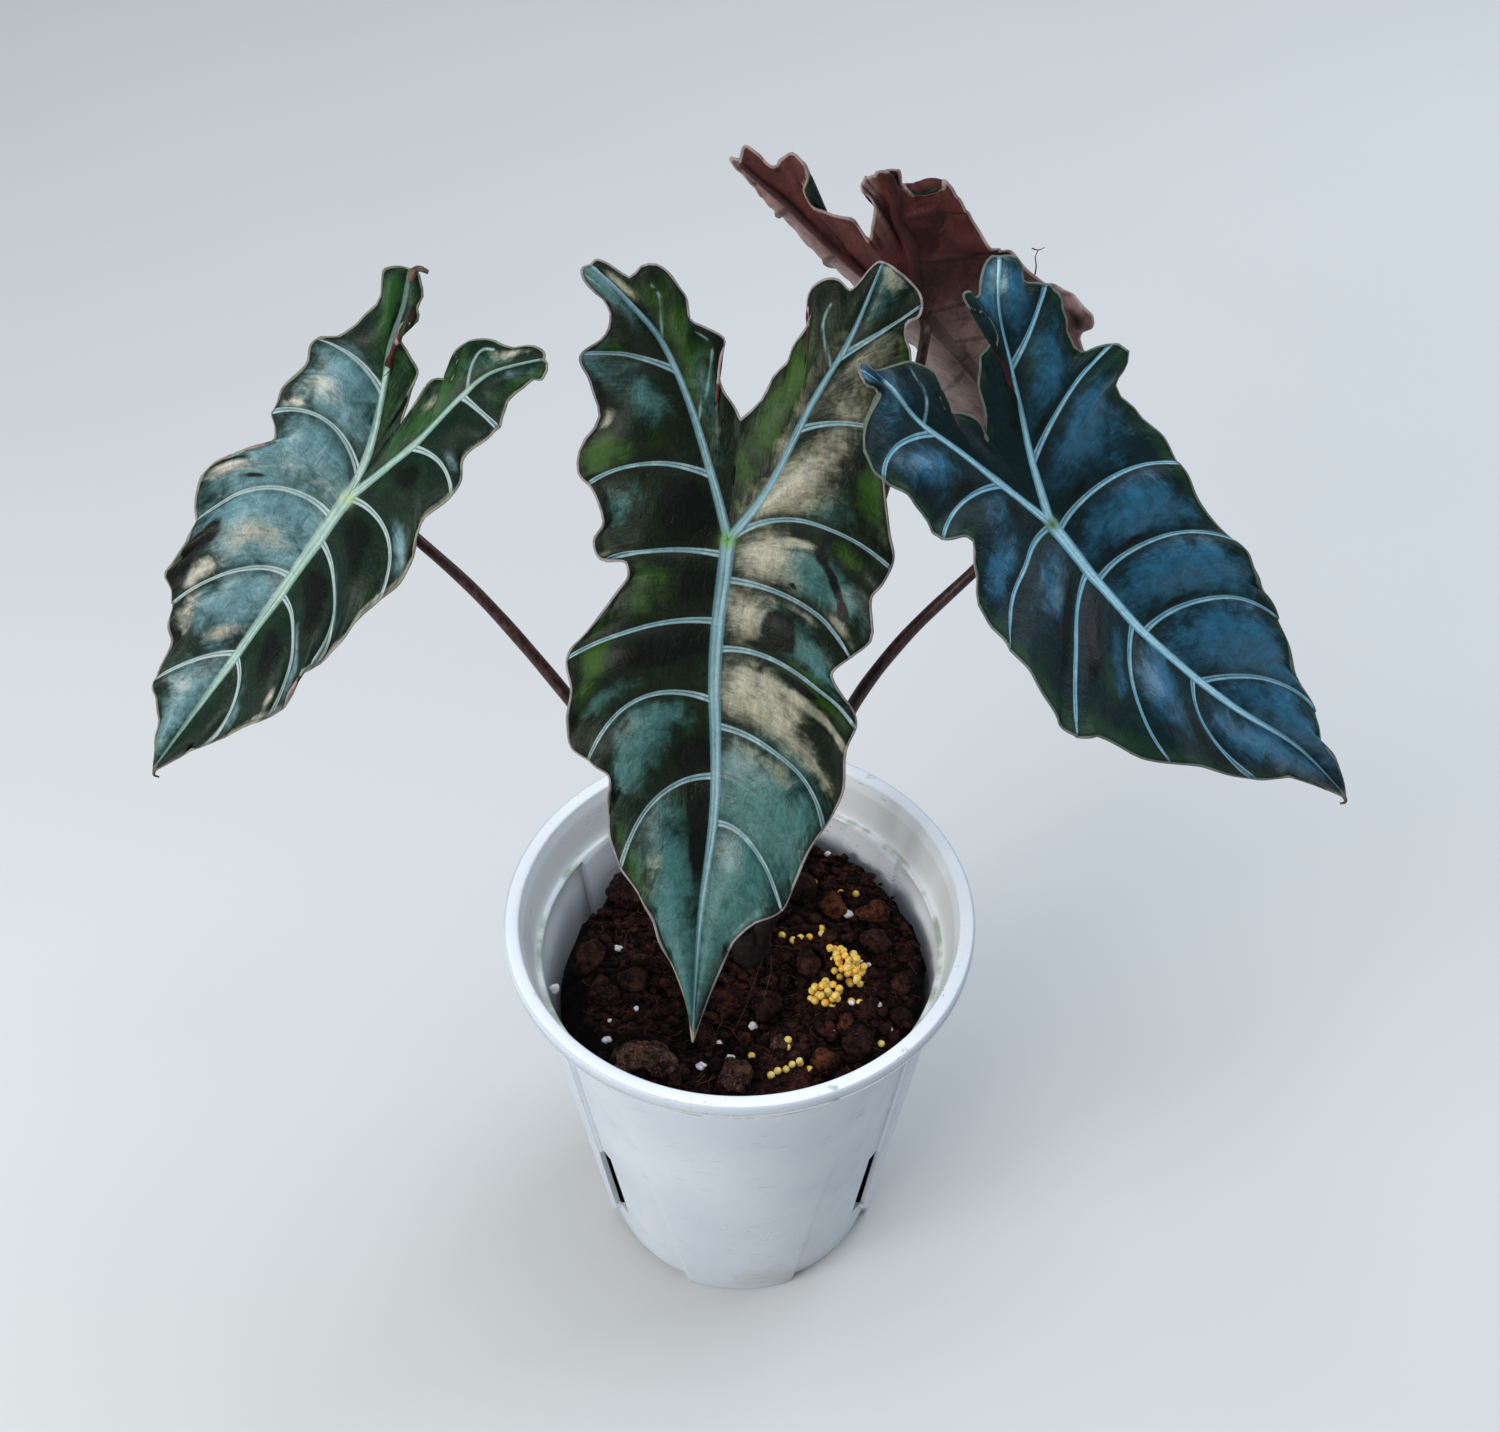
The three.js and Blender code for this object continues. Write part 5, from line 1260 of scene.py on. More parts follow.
# "wave" is how far an edge swings up and down, and "sinus" the bottom of the notch. "dents" are hollows
# and bulges, each with its place, its reach in both ways, and its height.
LEAVES = {
    "front": {
        "wave": 2.2,
        "midrib": [[0, 0], [34, -1], [75, 2], [113, 0], [153, 0]],
        "sinus": [-34, 1],
        "sides": [FRONT_LEFT_SIDE, FRONT_RIGHT_SIDE],
        "dents": [
            (9, 33, 4, 7, -2.6), (15, 31, 5, 4, -1.6), (10, 21, 1.6, 1.6, 0.7), (44, 34, 5, 5, -2.2),
            (56, 22, 7, 9, 1.2), (3, -24, 6, 6, 1.5), (-28, -28, 7, 6, 1.4), (-50, -33, 5, 4, -1.4),
            (-56, 37, 6, 4, 1.4), (-57, -14, 5, 3, 1.4), (92, 12, 9, 7, 1.2), (88, -14, 8, 6, 1.2),
            (30, -26, 8, 7, 1.2), (-14, 30, 8, 7, 1.2),
        ],
    },
    "left": {
        "wave": 2,
        "midrib": [[0, 0], [33, 1], [76, 1], [112, 0]],
        "sinus": [-28, 0],
        "sides": [LEFT_FAR_SIDE, LEFT_NEAR_SIDE],
        "dents": [
            (24, -31, 5, 6, -3.2), (34, -17, 7, 6, 1.4), (-2, -26, 3, 5, -1.6), (-9, -27, 2.5, 5, 1.6),
            (6, -27, 2.5, 6, 1.5), (46, -22, 3, 7, -1.4), (56, -14, 6, 6, 1.2), (-22, -20, 6, 6, 1.2),
            (14, 20, 7, 6, 1.2), (36, 17, 7, 6, 1.2),
        ],
    },
    "right": {
        "wave": 2,
        "midrib": [[0, 0], [21, -5], [45, -8], [80, -6], [111, 0], [140, 0]],
        "sinus": [-31, 5],
        "sides": [RIGHT_NEAR_SIDE, RIGHT_FAR_SIDE],
        "dents": [
            (-6, -20, 5, 7, 1.4), (6, -18, 3, 7, -1.3), (26, -28, 6, 8, 1.3), (52, -24, 6, 7, 1.3),
            (10, 22, 7, 9, 1), (34, 16, 7, 9, 1.1), (58, 14, 7, 8, 1.1), (86, 4, 8, 6, 1),
            (-12, 26, 7, 7, 1.1), (-46, -18, 6, 6, 1.3),
        ],
    },
    "back": {
        "wave": 2,
        "midrib": [[0, 0], [27, -5], [63, -7], [97, -3], [125, 0]],
        "sinus": [-32, 4],
        "sides": [BACK_RIGHT_SIDE, BACK_LEFT_SIDE],
        "dents": [
            (20, -22, 7, 7, 1.2), (48, -22, 8, 7, 1.2), (-39, -4, 3, 3, -1.2), (24, -40, 5, 4, -2),
        ],
    },
}

RIB_SPAN, MID_SPAN = 12, 24        # the spine's coordinate runs 12 along a rear rib and 24 to the tip
TOTAL_SPAN = RIB_SPAN + MID_SPAN
ROWS_PER_PANEL = 22
OUTER_COLUMNS = 44
INNER_COLUMNS = 22
CROWDING = 0.78                    # how much the rows crowd towards the veins
HALF_BLADE = 0.45                  # half thickness between the ribs
HALF_MARGIN = 0.28
MARGIN_WIDTH = 1.4
QUILT = 3.1                        # how far the blade bulges up between its veins
INNER_QUILT = 0.6                  # and its share beside the notch
BUCKLE, BUCKLE_SIZE = 0.35, 26     # height and size of the slow unevenness
FRILL, FRILL_WIDTH = 0.5, 7        # height of the small waves along the edge, and how far in they go
RIPPLE_FADE = 8
GRAIN, GRAIN_SIZE = 0.03, 12
RIB_RISE, RIB_GROOVE, RIB_KEEL = 0.4, 0.16, 1.3      # on the top face, along its middle, and below
VEIN_RISE, VEIN_GROOVE, VEIN_KEEL = 0.16, 0.26, 0.5
# Sheens are painted reflections, deep patches painted shade, pale underside patches painted light.
TINTS = ("cool_sheen", "warm_sheen", "moss", "deep", "pale", "blush")
HUB_SPOT = 2.1
TIP_LENGTH = 6
MIDRIB_WIDTH = (2.3, 0.55)         # half widths at the junction and at the far end
REAR_RIB_WIDTH = (1.45, 0.55)
VEIN_WIDTH = (1.05, 0.46)
SMALL_VEIN_WIDTH = (3, 1.8)
FAINT = 0.86                       # keeps a free vein this far, in half widths, so it stays faint


def lifted(points):
    """The points, with a height of 0 for those that have none."""
    return [[*p, 0][:3] for p in points]


def crowded(count, amount):
    """Steps from 0 to 1 that lie closer together at both ends."""
    x = np.arange(count + 1) / count
    return x - amount * np.sin(2 * np.pi * x) / (2 * np.pi)


def side_lines(leaf, side):
    """The smooth lines of one side: its spine, its edges, and where its side veins start and end."""
    rib = paced(smooth_line(lifted([leaf["midrib"][0]] + side["rib"])))
    midrib = paced(smooth_line(lifted(leaf["midrib"])))
    edge = smooth_line(lifted([side["rib"][-1]] + side["outer"] + [leaf["midrib"][-1]]))
    inner_edge = smooth_line(lifted([leaf["sinus"]] + side["inner"] + [side["rib"][-1]]))

    def spine(s):
        s = np.asarray(s, float)
        return np.where((s < RIB_SPAN)[..., None], rib(1 - s / RIB_SPAN), midrib((s - RIB_SPAN) / MID_SPAN))

    along, edge_steps = np.linspace(0.2, TOTAL_SPAN - 0.2, 1400), np.linspace(0, 1, 1200)
    spine_points, edge_points = spine(along), edge(edge_steps)
    keys = [(0, 0, np.zeros(2))]
    for start, middle, end in side["veins"]:
        far = np.linalg.norm(spine_points[:, :2] - start, axis=1) + 1e3 * (along < keys[-1][0] + 1)
        s = along[np.argmin(far)]
        e = edge_steps[np.argmin(np.linalg.norm(edge_points[:, :2] - end, axis=1))]
        keys.append((s, e, np.array(middle) - (spine(s) + edge(e))[:2] / 2))
    keys.append((TOTAL_SPAN, 1, np.zeros(2)))
    return {"spine": spine, "edge": edge, "inner_edge": inner_edge, "keys": keys}


def row_places(all_keys, low, high):
    """Places along the spine for the rows of points, close together near each vein."""
    wanted = {float(low), float(high)}
    for keys in all_keys:
        stops = [k[0] for k in keys]
        for a, b in zip(stops, stops[1:]):
            wanted.update(mix(a, b, crowded(ROWS_PER_PANEL, CROWDING)).tolist())
    kept = [low]
    for s in sorted(x for x in wanted if low < x < high):
        if s - kept[-1] > 0.02 and high - s > 0.02:
            kept.append(s)
    return np.array(kept + [high])


def painted(marks, q, t):
    """How much of each tint lies at a place. q counts the panels between veins, from the lobe's tip
    on, or runs along the inner edge from -2 at the lobe's tip to -1. t runs from the rib to the edge."""
    layers = []
    for tint in TINTS:
        total = np.zeros(np.broadcast(q, t).shape)
        for mark_q, mark_t, reach_q, reach_t, strength in marks.get(tint, []):
            total += strength * np.exp(-((q - mark_q) / reach_q) ** 2 - ((t - mark_t) / reach_t) ** 2)
        layers.append(np.minimum(total, 1))
    return layers


def outer_patch(leaf, side, lines, rows):
    """Points of the blade outside a rear rib and the midrib, one row for each place on the spine."""
    keys = lines["keys"]
    stops = np.array([k[0] for k in keys])
    panel = np.clip(np.searchsorted(stops, rows, side="right") - 1, 0, len(keys) - 2)
    between = (rows - stops[panel]) / (stops[panel + 1] - stops[panel])
    ends = np.array([k[1] for k in keys])
    bows = np.array([k[2] for k in keys])
    start = lines["spine"](rows)[:, None]
    end = lines["edge"](mix(ends[panel], ends[panel + 1], between))[:, None]
    bow = mix(bows[panel], bows[panel + 1], between[:, None])[:, None]
    t = crowded(OUTER_COLUMNS, 0.6)[None, :]
    flat = mix(start[..., :2], end[..., :2], t[..., None]) + bow * (4 * t * (1 - t))[..., None]
    b = between[:, None]
    bulge = QUILT * np.sin(np.pi * b) ** 0.8 * np.sin(np.pi * np.minimum(1, t * 1.1)) ** 0.9
    fade = np.minimum(1, (TOTAL_SPAN - rows) / RIPPLE_FADE)[:, None]
    ripple = leaf["wave"] * t ** 2 * np.sin(2 * np.pi * b) * fade
    lift = bulge + ripple + mix(start[..., 2], end[..., 2], t ** 2)
    streak = panel[:, None] * 9 + mix(ends[panel], ends[panel + 1], between)[:, None] * 180
    values = [streak, t, *painted(side["marks"], panel[:, None] + b, t)]
    return np.dstack([flat, lift] + [np.broadcast_to(x, flat.shape[:2]) for x in values])


def inner_patch(side, lines, rows):
    """Points of the blade between a rear rib and the notch."""
    share = 1 - rows / RIB_SPAN
    start = lines["spine"](rows)[:, None]
    end = lines["inner_edge"](share)[:, None]
    t = crowded(INNER_COLUMNS, 0.6)[None, :]
    flat = mix(start[..., :2], end[..., :2], t[..., None])
    bulge = INNER_QUILT * QUILT * np.sin(np.pi * t) * np.sin(np.pi * share)[:, None]
    lift = bulge + mix(start[..., 2], end[..., 2], t)
    values = [share[:, None] * 60 + 400, t, *painted(side["marks"], -1 - share[:, None], t)]
    return np.dstack([flat, lift] + [np.broadcast_to(x, flat.shape[:2]) for x in values])


def distance_to(points, line, widths, count=70):
    """Distance of flat points from a line, as a share of the line's half width there, and in mm."""
    stops = line(np.linspace(0, 1, count))[:, :2]
    best = np.full(len(points), 1e6)
    best_mm = np.full(len(points), 1e6)
    for i in range(count - 1):
        way = stops[i + 1] - stops[i]
        x = np.clip((points - stops[i]) @ way / (way @ way), 0, 1)
        far = np.linalg.norm(points - stops[i] - x[:, None] * way, axis=1)
        share = far / mix(*widths, ((i + x) / (count - 1)) ** 1.3)
        best = np.minimum(best, share)
        best_mm = np.minimum(best_mm, far)
    return best, best_mm


def unevenness(flat, random, scale, count=14):
    """Slow random ups and downs over the flat leaf, about -1 to 1."""
    total = np.zeros(len(flat))
    for _ in range(count):
        angle, phase = random.uniform(0, 6.3, 2)
        size = scale * random.uniform(0.6, 1.7)
        along = flat[:, 0] * np.cos(angle) + flat[:, 1] * np.sin(angle)
        total += np.sin(along * 2 * np.pi / size + phase)
    return total / np.sqrt(count) * 0.7


def blade_sheet(leaf):
    """The blade's middle surface, flat: its points with their values, and its triangles."""
    sides = leaf["sides"]
    lines = [side_lines(leaf, side) for side in sides]
    mid_rows = row_places([line["keys"] for line in lines], RIB_SPAN, TOTAL_SPAN)
    points, triangles, start = [], [], 0
    for k, (side, line) in enumerate(zip(sides, lines)):
        rib_rows = row_places([line["keys"]], 0, RIB_SPAN)
        rows = np.concatenate([rib_rows[:-1], mid_rows])
        for patch, flip in ((outer_patch(leaf, side, line, rows), k == 0),
                            (inner_patch(side, line, rib_rows[::-1]), k == 0)):
            count, columns, _ = patch.shape
            quads = np.array(grid_faces(count, columns, start=start))[:, ::-1 if flip else 1]
            triangles += [quads[:, [0, 3, 2]], quads[:, [0, 2, 1]]]
            points.append(patch.reshape(-1, patch.shape[2]))
            start += count * columns
    points, triangles = np.concatenate(points), np.concatenate(triangles)
    _, first, index = np.unique(np.round(points[:, :3], 4), axis=0, return_index=True, return_inverse=True)
    points, triangles = points[first], index.reshape(-1)[triangles]
    whole = (triangles != np.roll(triangles, 1, axis=1)).all(axis=1)
    return points, triangles[whole], lines


def normals_of(points, triangles):
    """The way that the surface faces at each point."""
    a, b, c = (points[triangles[:, k]] for k in range(3))
    face = np.cross(b - a, c - a)
    total = np.zeros_like(points)
    for k in range(3):
        np.add.at(total, triangles[:, k], face)
    return total / np.maximum(np.linalg.norm(total, axis=1), 1e-12)[:, None]


def rim_of(points, triangles, normals):
    """The blade's open edges, and for each point on them the way outward."""
    edges = np.concatenate([triangles[:, [0, 1]], triangles[:, [1, 2]], triangles[:, [2, 0]]])
    seen = {tuple(edge) for edge in edges.tolist()}
    rim = [(a, b) for a, b in seen if (b, a) not in seen]
    outward = np.zeros_like(points)
    for a, b in rim:
        way = np.cross(points[b] - points[a], normals[a] + normals[b])
        outward[a] += way
        outward[b] += way
    return rim, outward / np.maximum(np.linalg.norm(outward, axis=1), 1e-12)[:, None]


def bowed(start, end, bow):
    """The way of a side vein, whose middle lies aside by bow."""
    return lambda t: mix(start, end, t[:, None]) + bow * (4 * t * (1 - t))[:, None]


def line_distances(leaf, lines, flat):
    """Distances of flat points from the ribs, as a share of their half width and in mm, from the side
    veins, as such a share, and from the edge, in mm."""
    rib, rib_mm = distance_to(flat, smooth_line(lifted(leaf["midrib"])), MIDRIB_WIDTH)
    vein = np.full(len(flat), 9.0)
    edge_mm = np.full(len(flat), 1e6)
    for side, line in zip(leaf["sides"], lines):
        rear = smooth_line(lifted([leaf["midrib"][0]] + side["rib"]))
        far, far_mm = distance_to(flat, rear, REAR_RIB_WIDTH)
        rib, rib_mm = np.minimum(rib, far), np.minimum(rib_mm, far_mm)
        for s, e, bow in line["keys"][1:-1]:
            way = bowed(line["spine"](s)[:2], line["edge"](e)[:2], bow)
            vein = np.minimum(vein, distance_to(flat, way, VEIN_WIDTH)[0])
        for free in side["free"]:
            faint = distance_to(flat, smooth_line(free), SMALL_VEIN_WIDTH)[0] + FAINT
            vein = np.minimum(vein, faint)
        for edge in (line["edge"], line["inner_edge"]):
            edge_mm = np.minimum(edge_mm, distance_to(flat, edge, (1, 1), 240)[1])
    return rib, rib_mm, vein, edge_mm


def blade_lift(leaf, sheet, rib_mm, edge_mm, random):
    """How far each point of the sheet is lifted off the flat drawing."""
    flat, streak = sheet[:, :2], sheet[:, 3]
    lift = sheet[:, 2] + BUCKLE * unevenness(flat, random, BUCKLE_SIZE) * smooth(rib_mm / 8)
    for u, v, reach_u, reach_v, height in leaf["dents"]:
        near = ((flat[:, 0] - u) / reach_u) ** 2 + ((flat[:, 1] - v) / reach_v) ** 2
        lift = lift + height * np.exp(-near) * smooth(rib_mm / 5)
    return lift + FRILL * np.sin(streak * 0.9) * smooth(1 - edge_mm / FRILL_WIDTH) * smooth(rib_mm / 8)


def half_thickness(sheet, rib, vein, edge_mm, random):
    """How far the top face lies above each point of the sheet, and the underside below it."""
    flat, streak = sheet[:, :2], sheet[:, 3]
    margin = smooth(edge_mm / MARGIN_WIDTH)
    half = mix(HALF_MARGIN, HALF_BLADE, margin)
    grain = GRAIN * np.sin(streak * 7 + 2 * unevenness(flat, random, GRAIN_SIZE)) * margin
    toward_tip = np.clip(np.abs(flat[:, 0]) / 150, 0, 1)
    rib_round = np.sqrt(np.maximum(0, 1 - rib ** 2))
    rib_groove = np.exp(-(rib / 0.22) ** 2)
    rib_top = RIB_RISE * rib_round - RIB_GROOVE * rib_groove
    vein_top = VEIN_RISE * np.exp(-(vein / 0.9) ** 2) - VEIN_GROOVE * np.exp(-(vein / 0.32) ** 2)
    vein_below = VEIN_KEEL * np.exp(-(vein / 0.8) ** 2)
    top = half + grain + margin * rib_top * (1 - 0.5 * toward_tip)
    top += margin * np.where(rib > 1, vein_top, 0)
    bottom = half + margin * rib_round * RIB_KEEL * (1 - 0.75 * toward_tip)
    bottom += margin * np.where(rib > 1, vein_below, 0)
    return top, bottom


def blade(name, seed):
    """One blade: a top face, an underside and a narrow rim all round, with what the finish reads."""
    leaf = LEAVES[name]
    random = np.random.default_rng(seed)
    sheet, triangles, lines = blade_sheet(leaf)
    flat = sheet[:, :2]
    rib, rib_mm, vein, edge_mm = line_distances(leaf, lines, flat)
    lift = blade_lift(leaf, sheet, rib_mm, edge_mm, random)
    middle = blade_place(name)(np.column_stack([flat, lift]))
    normals = normals_of(middle, triangles)
    top, bottom = half_thickness(sheet, rib, vein, edge_mm, random)
    rim, outward = rim_of(middle, triangles, normals)
    count = len(middle)
    rim_index = {i: 2 * count + n for n, i in enumerate(sorted({i for pair in rim for i in pair}))}
    rim_points = np.array(sorted(rim_index))
    points = np.concatenate([
        middle + normals * top[:, None] * MM,
        middle - normals * bottom[:, None] * MM,
        middle[rim_points] + outward[rim_points] * HALF_MARGIN * MM,
    ])
    faces = np.concatenate([triangles, triangles[:, ::-1] + count]).tolist()
    for a, b in rim:
        faces += [[b, a, rim_index[a], rim_index[b]], [rim_index[b], rim_index[a], a + count, b + count]]
    values = {
        "rib": rib, "vein": vein, "edge": edge_mm, "streak": sheet[:, 3], "across": sheet[:, 4],
        "flat_u": flat[:, 0], "flat_v": flat[:, 1],
        "hub": np.exp(-(np.linalg.norm(flat, axis=1) / HUB_SPOT) ** 2),
        "tip": smooth((flat[:, 0] - leaf["midrib"][-1][0] + TIP_LENGTH) / TIP_LENGTH),
    }
    values.update(zip(TINTS, sheet[:, 5:].T))
    stored = {key: np.concatenate([v, v, v[rim_points]]) for key, v in values.items()}
    stored["under"] = np.concatenate([np.zeros(count), np.ones(count), np.full(len(rim_points), 0.5)])
    piece = mesh_piece("blade_" + name, points, faces, leaf_finish(name))
    store(piece, **stored)
    settle(piece, "leaf", "leaf_" + name)


# Tints of each leaf's top, with the colours of its painted reflections, a bluish and a tan sheen. Two
# of one kind are its darker and lighter shade.
LEAF_COLOURS = {
    "front": {
        "base": ink(13, 23, 10), "cool_sheen": (ink(18, 60, 53), ink(64, 118, 115)),
        "warm_sheen": (ink(70, 84, 69), ink(174, 166, 139)), "moss": ink(43, 74, 18),
        "rib": ink(130, 162, 168), "rib_edge": ink(78, 114, 122), "vein": ink(126, 156, 160),
        "margin": ink(150, 140, 138), "tip": ink(166, 150, 98), "hub": ink(107, 149, 58),
    },
    "left": {
        "base": ink(12, 30, 19), "cool_sheen": (ink(38, 84, 85), ink(117, 160, 167)),
        "warm_sheen": (ink(120, 124, 116), ink(214, 206, 184)), "moss": ink(38, 78, 32),
        "rib": ink(164, 190, 178), "rib_edge": ink(112, 144, 134), "vein": ink(168, 188, 184),
        "margin": ink(132, 134, 112), "tip": ink(74, 54, 40), "hub": ink(164, 190, 140),
    },
    "right": {
        "base": ink(8, 30, 32), "cool_sheen": (ink(5, 57, 75), ink(27, 110, 144)),
        "warm_sheen": (ink(60, 100, 104), ink(150, 186, 184)), "moss": ink(24, 52, 32),
        "rib": ink(168, 210, 222), "rib_edge": ink(98, 148, 166), "vein": ink(118, 168, 186),
        "margin": ink(104, 114, 104), "tip": ink(112, 92, 72), "hub": ink(84, 116, 54),
    },
    "back": {
        "base": ink(14, 31, 25), "cool_sheen": (ink(30, 60, 54), ink(60, 96, 88)),
        "warm_sheen": (ink(90, 110, 100), ink(150, 160, 150)), "moss": ink(36, 60, 36),
        "rib": ink(120, 150, 140), "rib_edge": ink(80, 110, 104), "vein": ink(100, 130, 124),
        "margin": ink(150, 128, 122), "tip": ink(120, 96, 74), "hub": ink(92, 122, 60),
    },
}
# Colour of the painted shade in the deep patches on the top
DEEP_SHADE = ink(7, 12, 7)
DARK_MARGIN = ink(16, 18, 12)
BLUSH = ink(44, 20, 20)
# Colour of the painted highlights along the veins
VEIN_GLINT = ink(186, 208, 212)
# The underside's colours. Its pale patches are painted light and its deep patches painted shade.
BELOW = {
    "dark": ink(57, 29, 28), "light": ink(93, 47, 42), "pale": ink(172, 142, 134),
    "deep": ink(18, 10, 10), "vein": ink(38, 22, 24), "margin": ink(172, 152, 148),
}


def centred(look, value, amount):
    """A value of 0 to 1 moved to lie about zero."""
    return times(look, maths(look, "SUBTRACT", value, 0.5), amount)


def summed(look, first, *others):
    """The sum of several values."""
    for other in others:
        first = maths(look, "ADD", first, other)
    return first


def skin_patterns(look):
    """The uneven patterns of a leaf's skin: two that follow the veins, and three over the flat leaf."""
    streak, across = reading(look, "streak"), reading(look, "across")
    streak_place = add(look, "CombineXYZ", {0: streak, 1: across}).outputs[0]
    flat_u, flat_v = reading(look, "flat_u"), reading(look, "flat_v")
    flat_place = add(look, "CombineXYZ", {0: flat_u, 1: flat_v}).outputs[0]
    bent_u = summed(look, centred(look, noise(look, 0.12, 3, flat_place), 16), flat_u)
    bent_place = add(look, "CombineXYZ", {0: bent_u, 1: flat_v}).outputs[0]
    shifted = add(look, "Mapping", {"Vector": bent_place, "Location": (90, 40, 0)}).outputs[0]

    def streaks(scale, detail):
        where = add(look, "Mapping", {"Vector": streak_place, "Scale": scale}).outputs[0]
        return noise(look, 1, detail, where, 0.6)

    return {
        "fibres": streaks((1, 7, 1), 5),
        "fine": streaks((3, 22, 1), 4),
        "patches": noise(look, 0.11, 5, bent_place, 0.6),
        "creases": noise(look, 0.7, 5, bent_place, 0.65),
        "others": noise(look, 0.24, 5, shifted, 0.62),
        "clouds": noise(look, 0.5, 2, flat_place),
    }


def ragged_share(look, skin, tint, by_fibres, by_patches):
    """The painted share of a tint, broken up a little."""
    by_fibres = centred(look, skin["fibres"], by_fibres)
    by_patches = centred(look, skin["patches"], by_patches)
    share = reading(look, tint)
    ragged = times(look, summed(look, by_fibres, by_patches), span(look, share, 0.0, 0.25))
    return span(look, summed(look, share, ragged), 0.12, 0.8)


def two_shades(look, skin, dark, light):
    """The dark shade, and the light one in patches, creases and a few streaks."""
    lit = summed(look, centred(look, skin["fine"], 0.5), centred(look, skin["others"], 1.3),
                 centred(look, skin["creases"], 0.7), centred(look, skin["fibres"], 0.5))
    return layer(look, span(look, lit, -0.6, 0.6), dark, light)


def tinted_top(look, skin, tone):
    """The colour between the veins, and the shares of painted bluish and tan sheen and painted shade."""
    base = times(look, span(look, skin["patches"], 0.45, 0.8), 0.3)
    colour = layer(look, base, tone["base"], tone["moss"])
    # Painted reflections: a bluish and a tan sheen. Painted shade: the deep patches.
    cool_sheen, warm_sheen = (ragged_share(look, skin, *values) for values in (("cool_sheen", 0.4, 1.1), ("warm_sheen", 0.4, 1.2)))
    deep = span(look, ragged_share(look, skin, "deep", 0.2, 0.9), 0.15, 0.75)
    colour = layer(look, ragged_share(look, skin, "moss", 0.6, 1.4), colour, tone["moss"])
    colour = layer(look, cool_sheen, colour, two_shades(look, skin, *tone["cool_sheen"]))
    colour = layer(look, times(look, span(look, skin["fine"], 0.52, 0.8), 0.1), colour, tone["cool_sheen"][1])
    colour = layer(look, warm_sheen, colour, two_shades(look, skin, *tone["warm_sheen"]))
    colour = layer(look, deep, colour, DEEP_SHADE)
    return layer(look, times(look, reading(look, "blush"), 0.9), colour, BLUSH), cool_sheen, warm_sheen, deep


def veined(look, skin, tone, colour, vein, rib, edge):
    """The top's colour with its veins, ribs, margin, hub and dry tip, and painted shade and glints."""
    # Painted shade: the blade is darker in a narrow band beside each vein.
    beside = times(look, span(look, vein, 3.2, 1.5), span(look, vein, 0.9, 1.3))
    colour = layer(look, times(look, beside, 0.35), colour, tone["base"])
    band = times(look, span(look, vein, 1.15, 0.8), span(look, vein, 0.2, 0.45, 0.45, 1))
    # Painted highlights: paler glints along the veins.
    glint = times(look, span(look, skin["others"], 0.45, 0.7), 0.5)
    colour = layer(look, times(look, band, 0.92), colour, layer(look, glint, tone["vein"], VEIN_GLINT))
    rib_colour = layer(look, span(look, rib, 0.45, 0.85), tone["rib"], tone["rib_edge"])
    # Painted shade: a darker line along the groove in the rib's middle.
    rib_colour = layer(look, times(look, span(look, rib, 0.16, 0.04), 0.4), rib_colour, tone["rib_edge"])
    strength = span(look, skin["clouds"], 0.3, 0.7, 0.85, 1)
    colour = layer(look, times(look, span(look, rib, 1.08, 0.9), strength), colour, rib_colour)
    colour = layer(look, times(look, span(look, edge, 1.2, 0.7), 0.55), colour, DARK_MARGIN)
    broken = span(look, skin["others"], 0.3, 0.6, 0.6, 0.95)
    colour = layer(look, times(look, span(look, edge, 0.42, 0.25), broken), colour, tone["margin"])
    colour = layer(look, reading(look, "hub"), colour, tone["hub"])
    return layer(look, times(look, reading(look, "tip"), 0.8), colour, tone["tip"])


def underside(look, skin, vein, rib, edge):
    """The burgundy underside, painted paler where light comes through or glances off."""
    below = layer(look, span(look, skin["patches"], 0.3, 0.7), BELOW["dark"], BELOW["light"])
    below = layer(look, times(look, span(look, skin["fine"], 0.45, 0.75), 0.25), below, BELOW["dark"])
    # Painted light in the pale patches.
    pale = times(look, reading(look, "pale"), span(look, skin["others"], 0.2, 0.6))
    below = layer(look, pale, below, BELOW["pale"])
    # Painted shade in the deep patches.
    below = layer(look, reading(look, "deep"), below, BELOW["deep"])
    lines = maths(look, "MAXIMUM", span(look, vein, 0.8, 0.4), span(look, rib, 1.0, 0.8))
    below = layer(look, times(look, lines, 0.5), below, BELOW["vein"])
    return layer(look, times(look, span(look, edge, 0.65, 0.35), 0.7), below, BELOW["margin"])


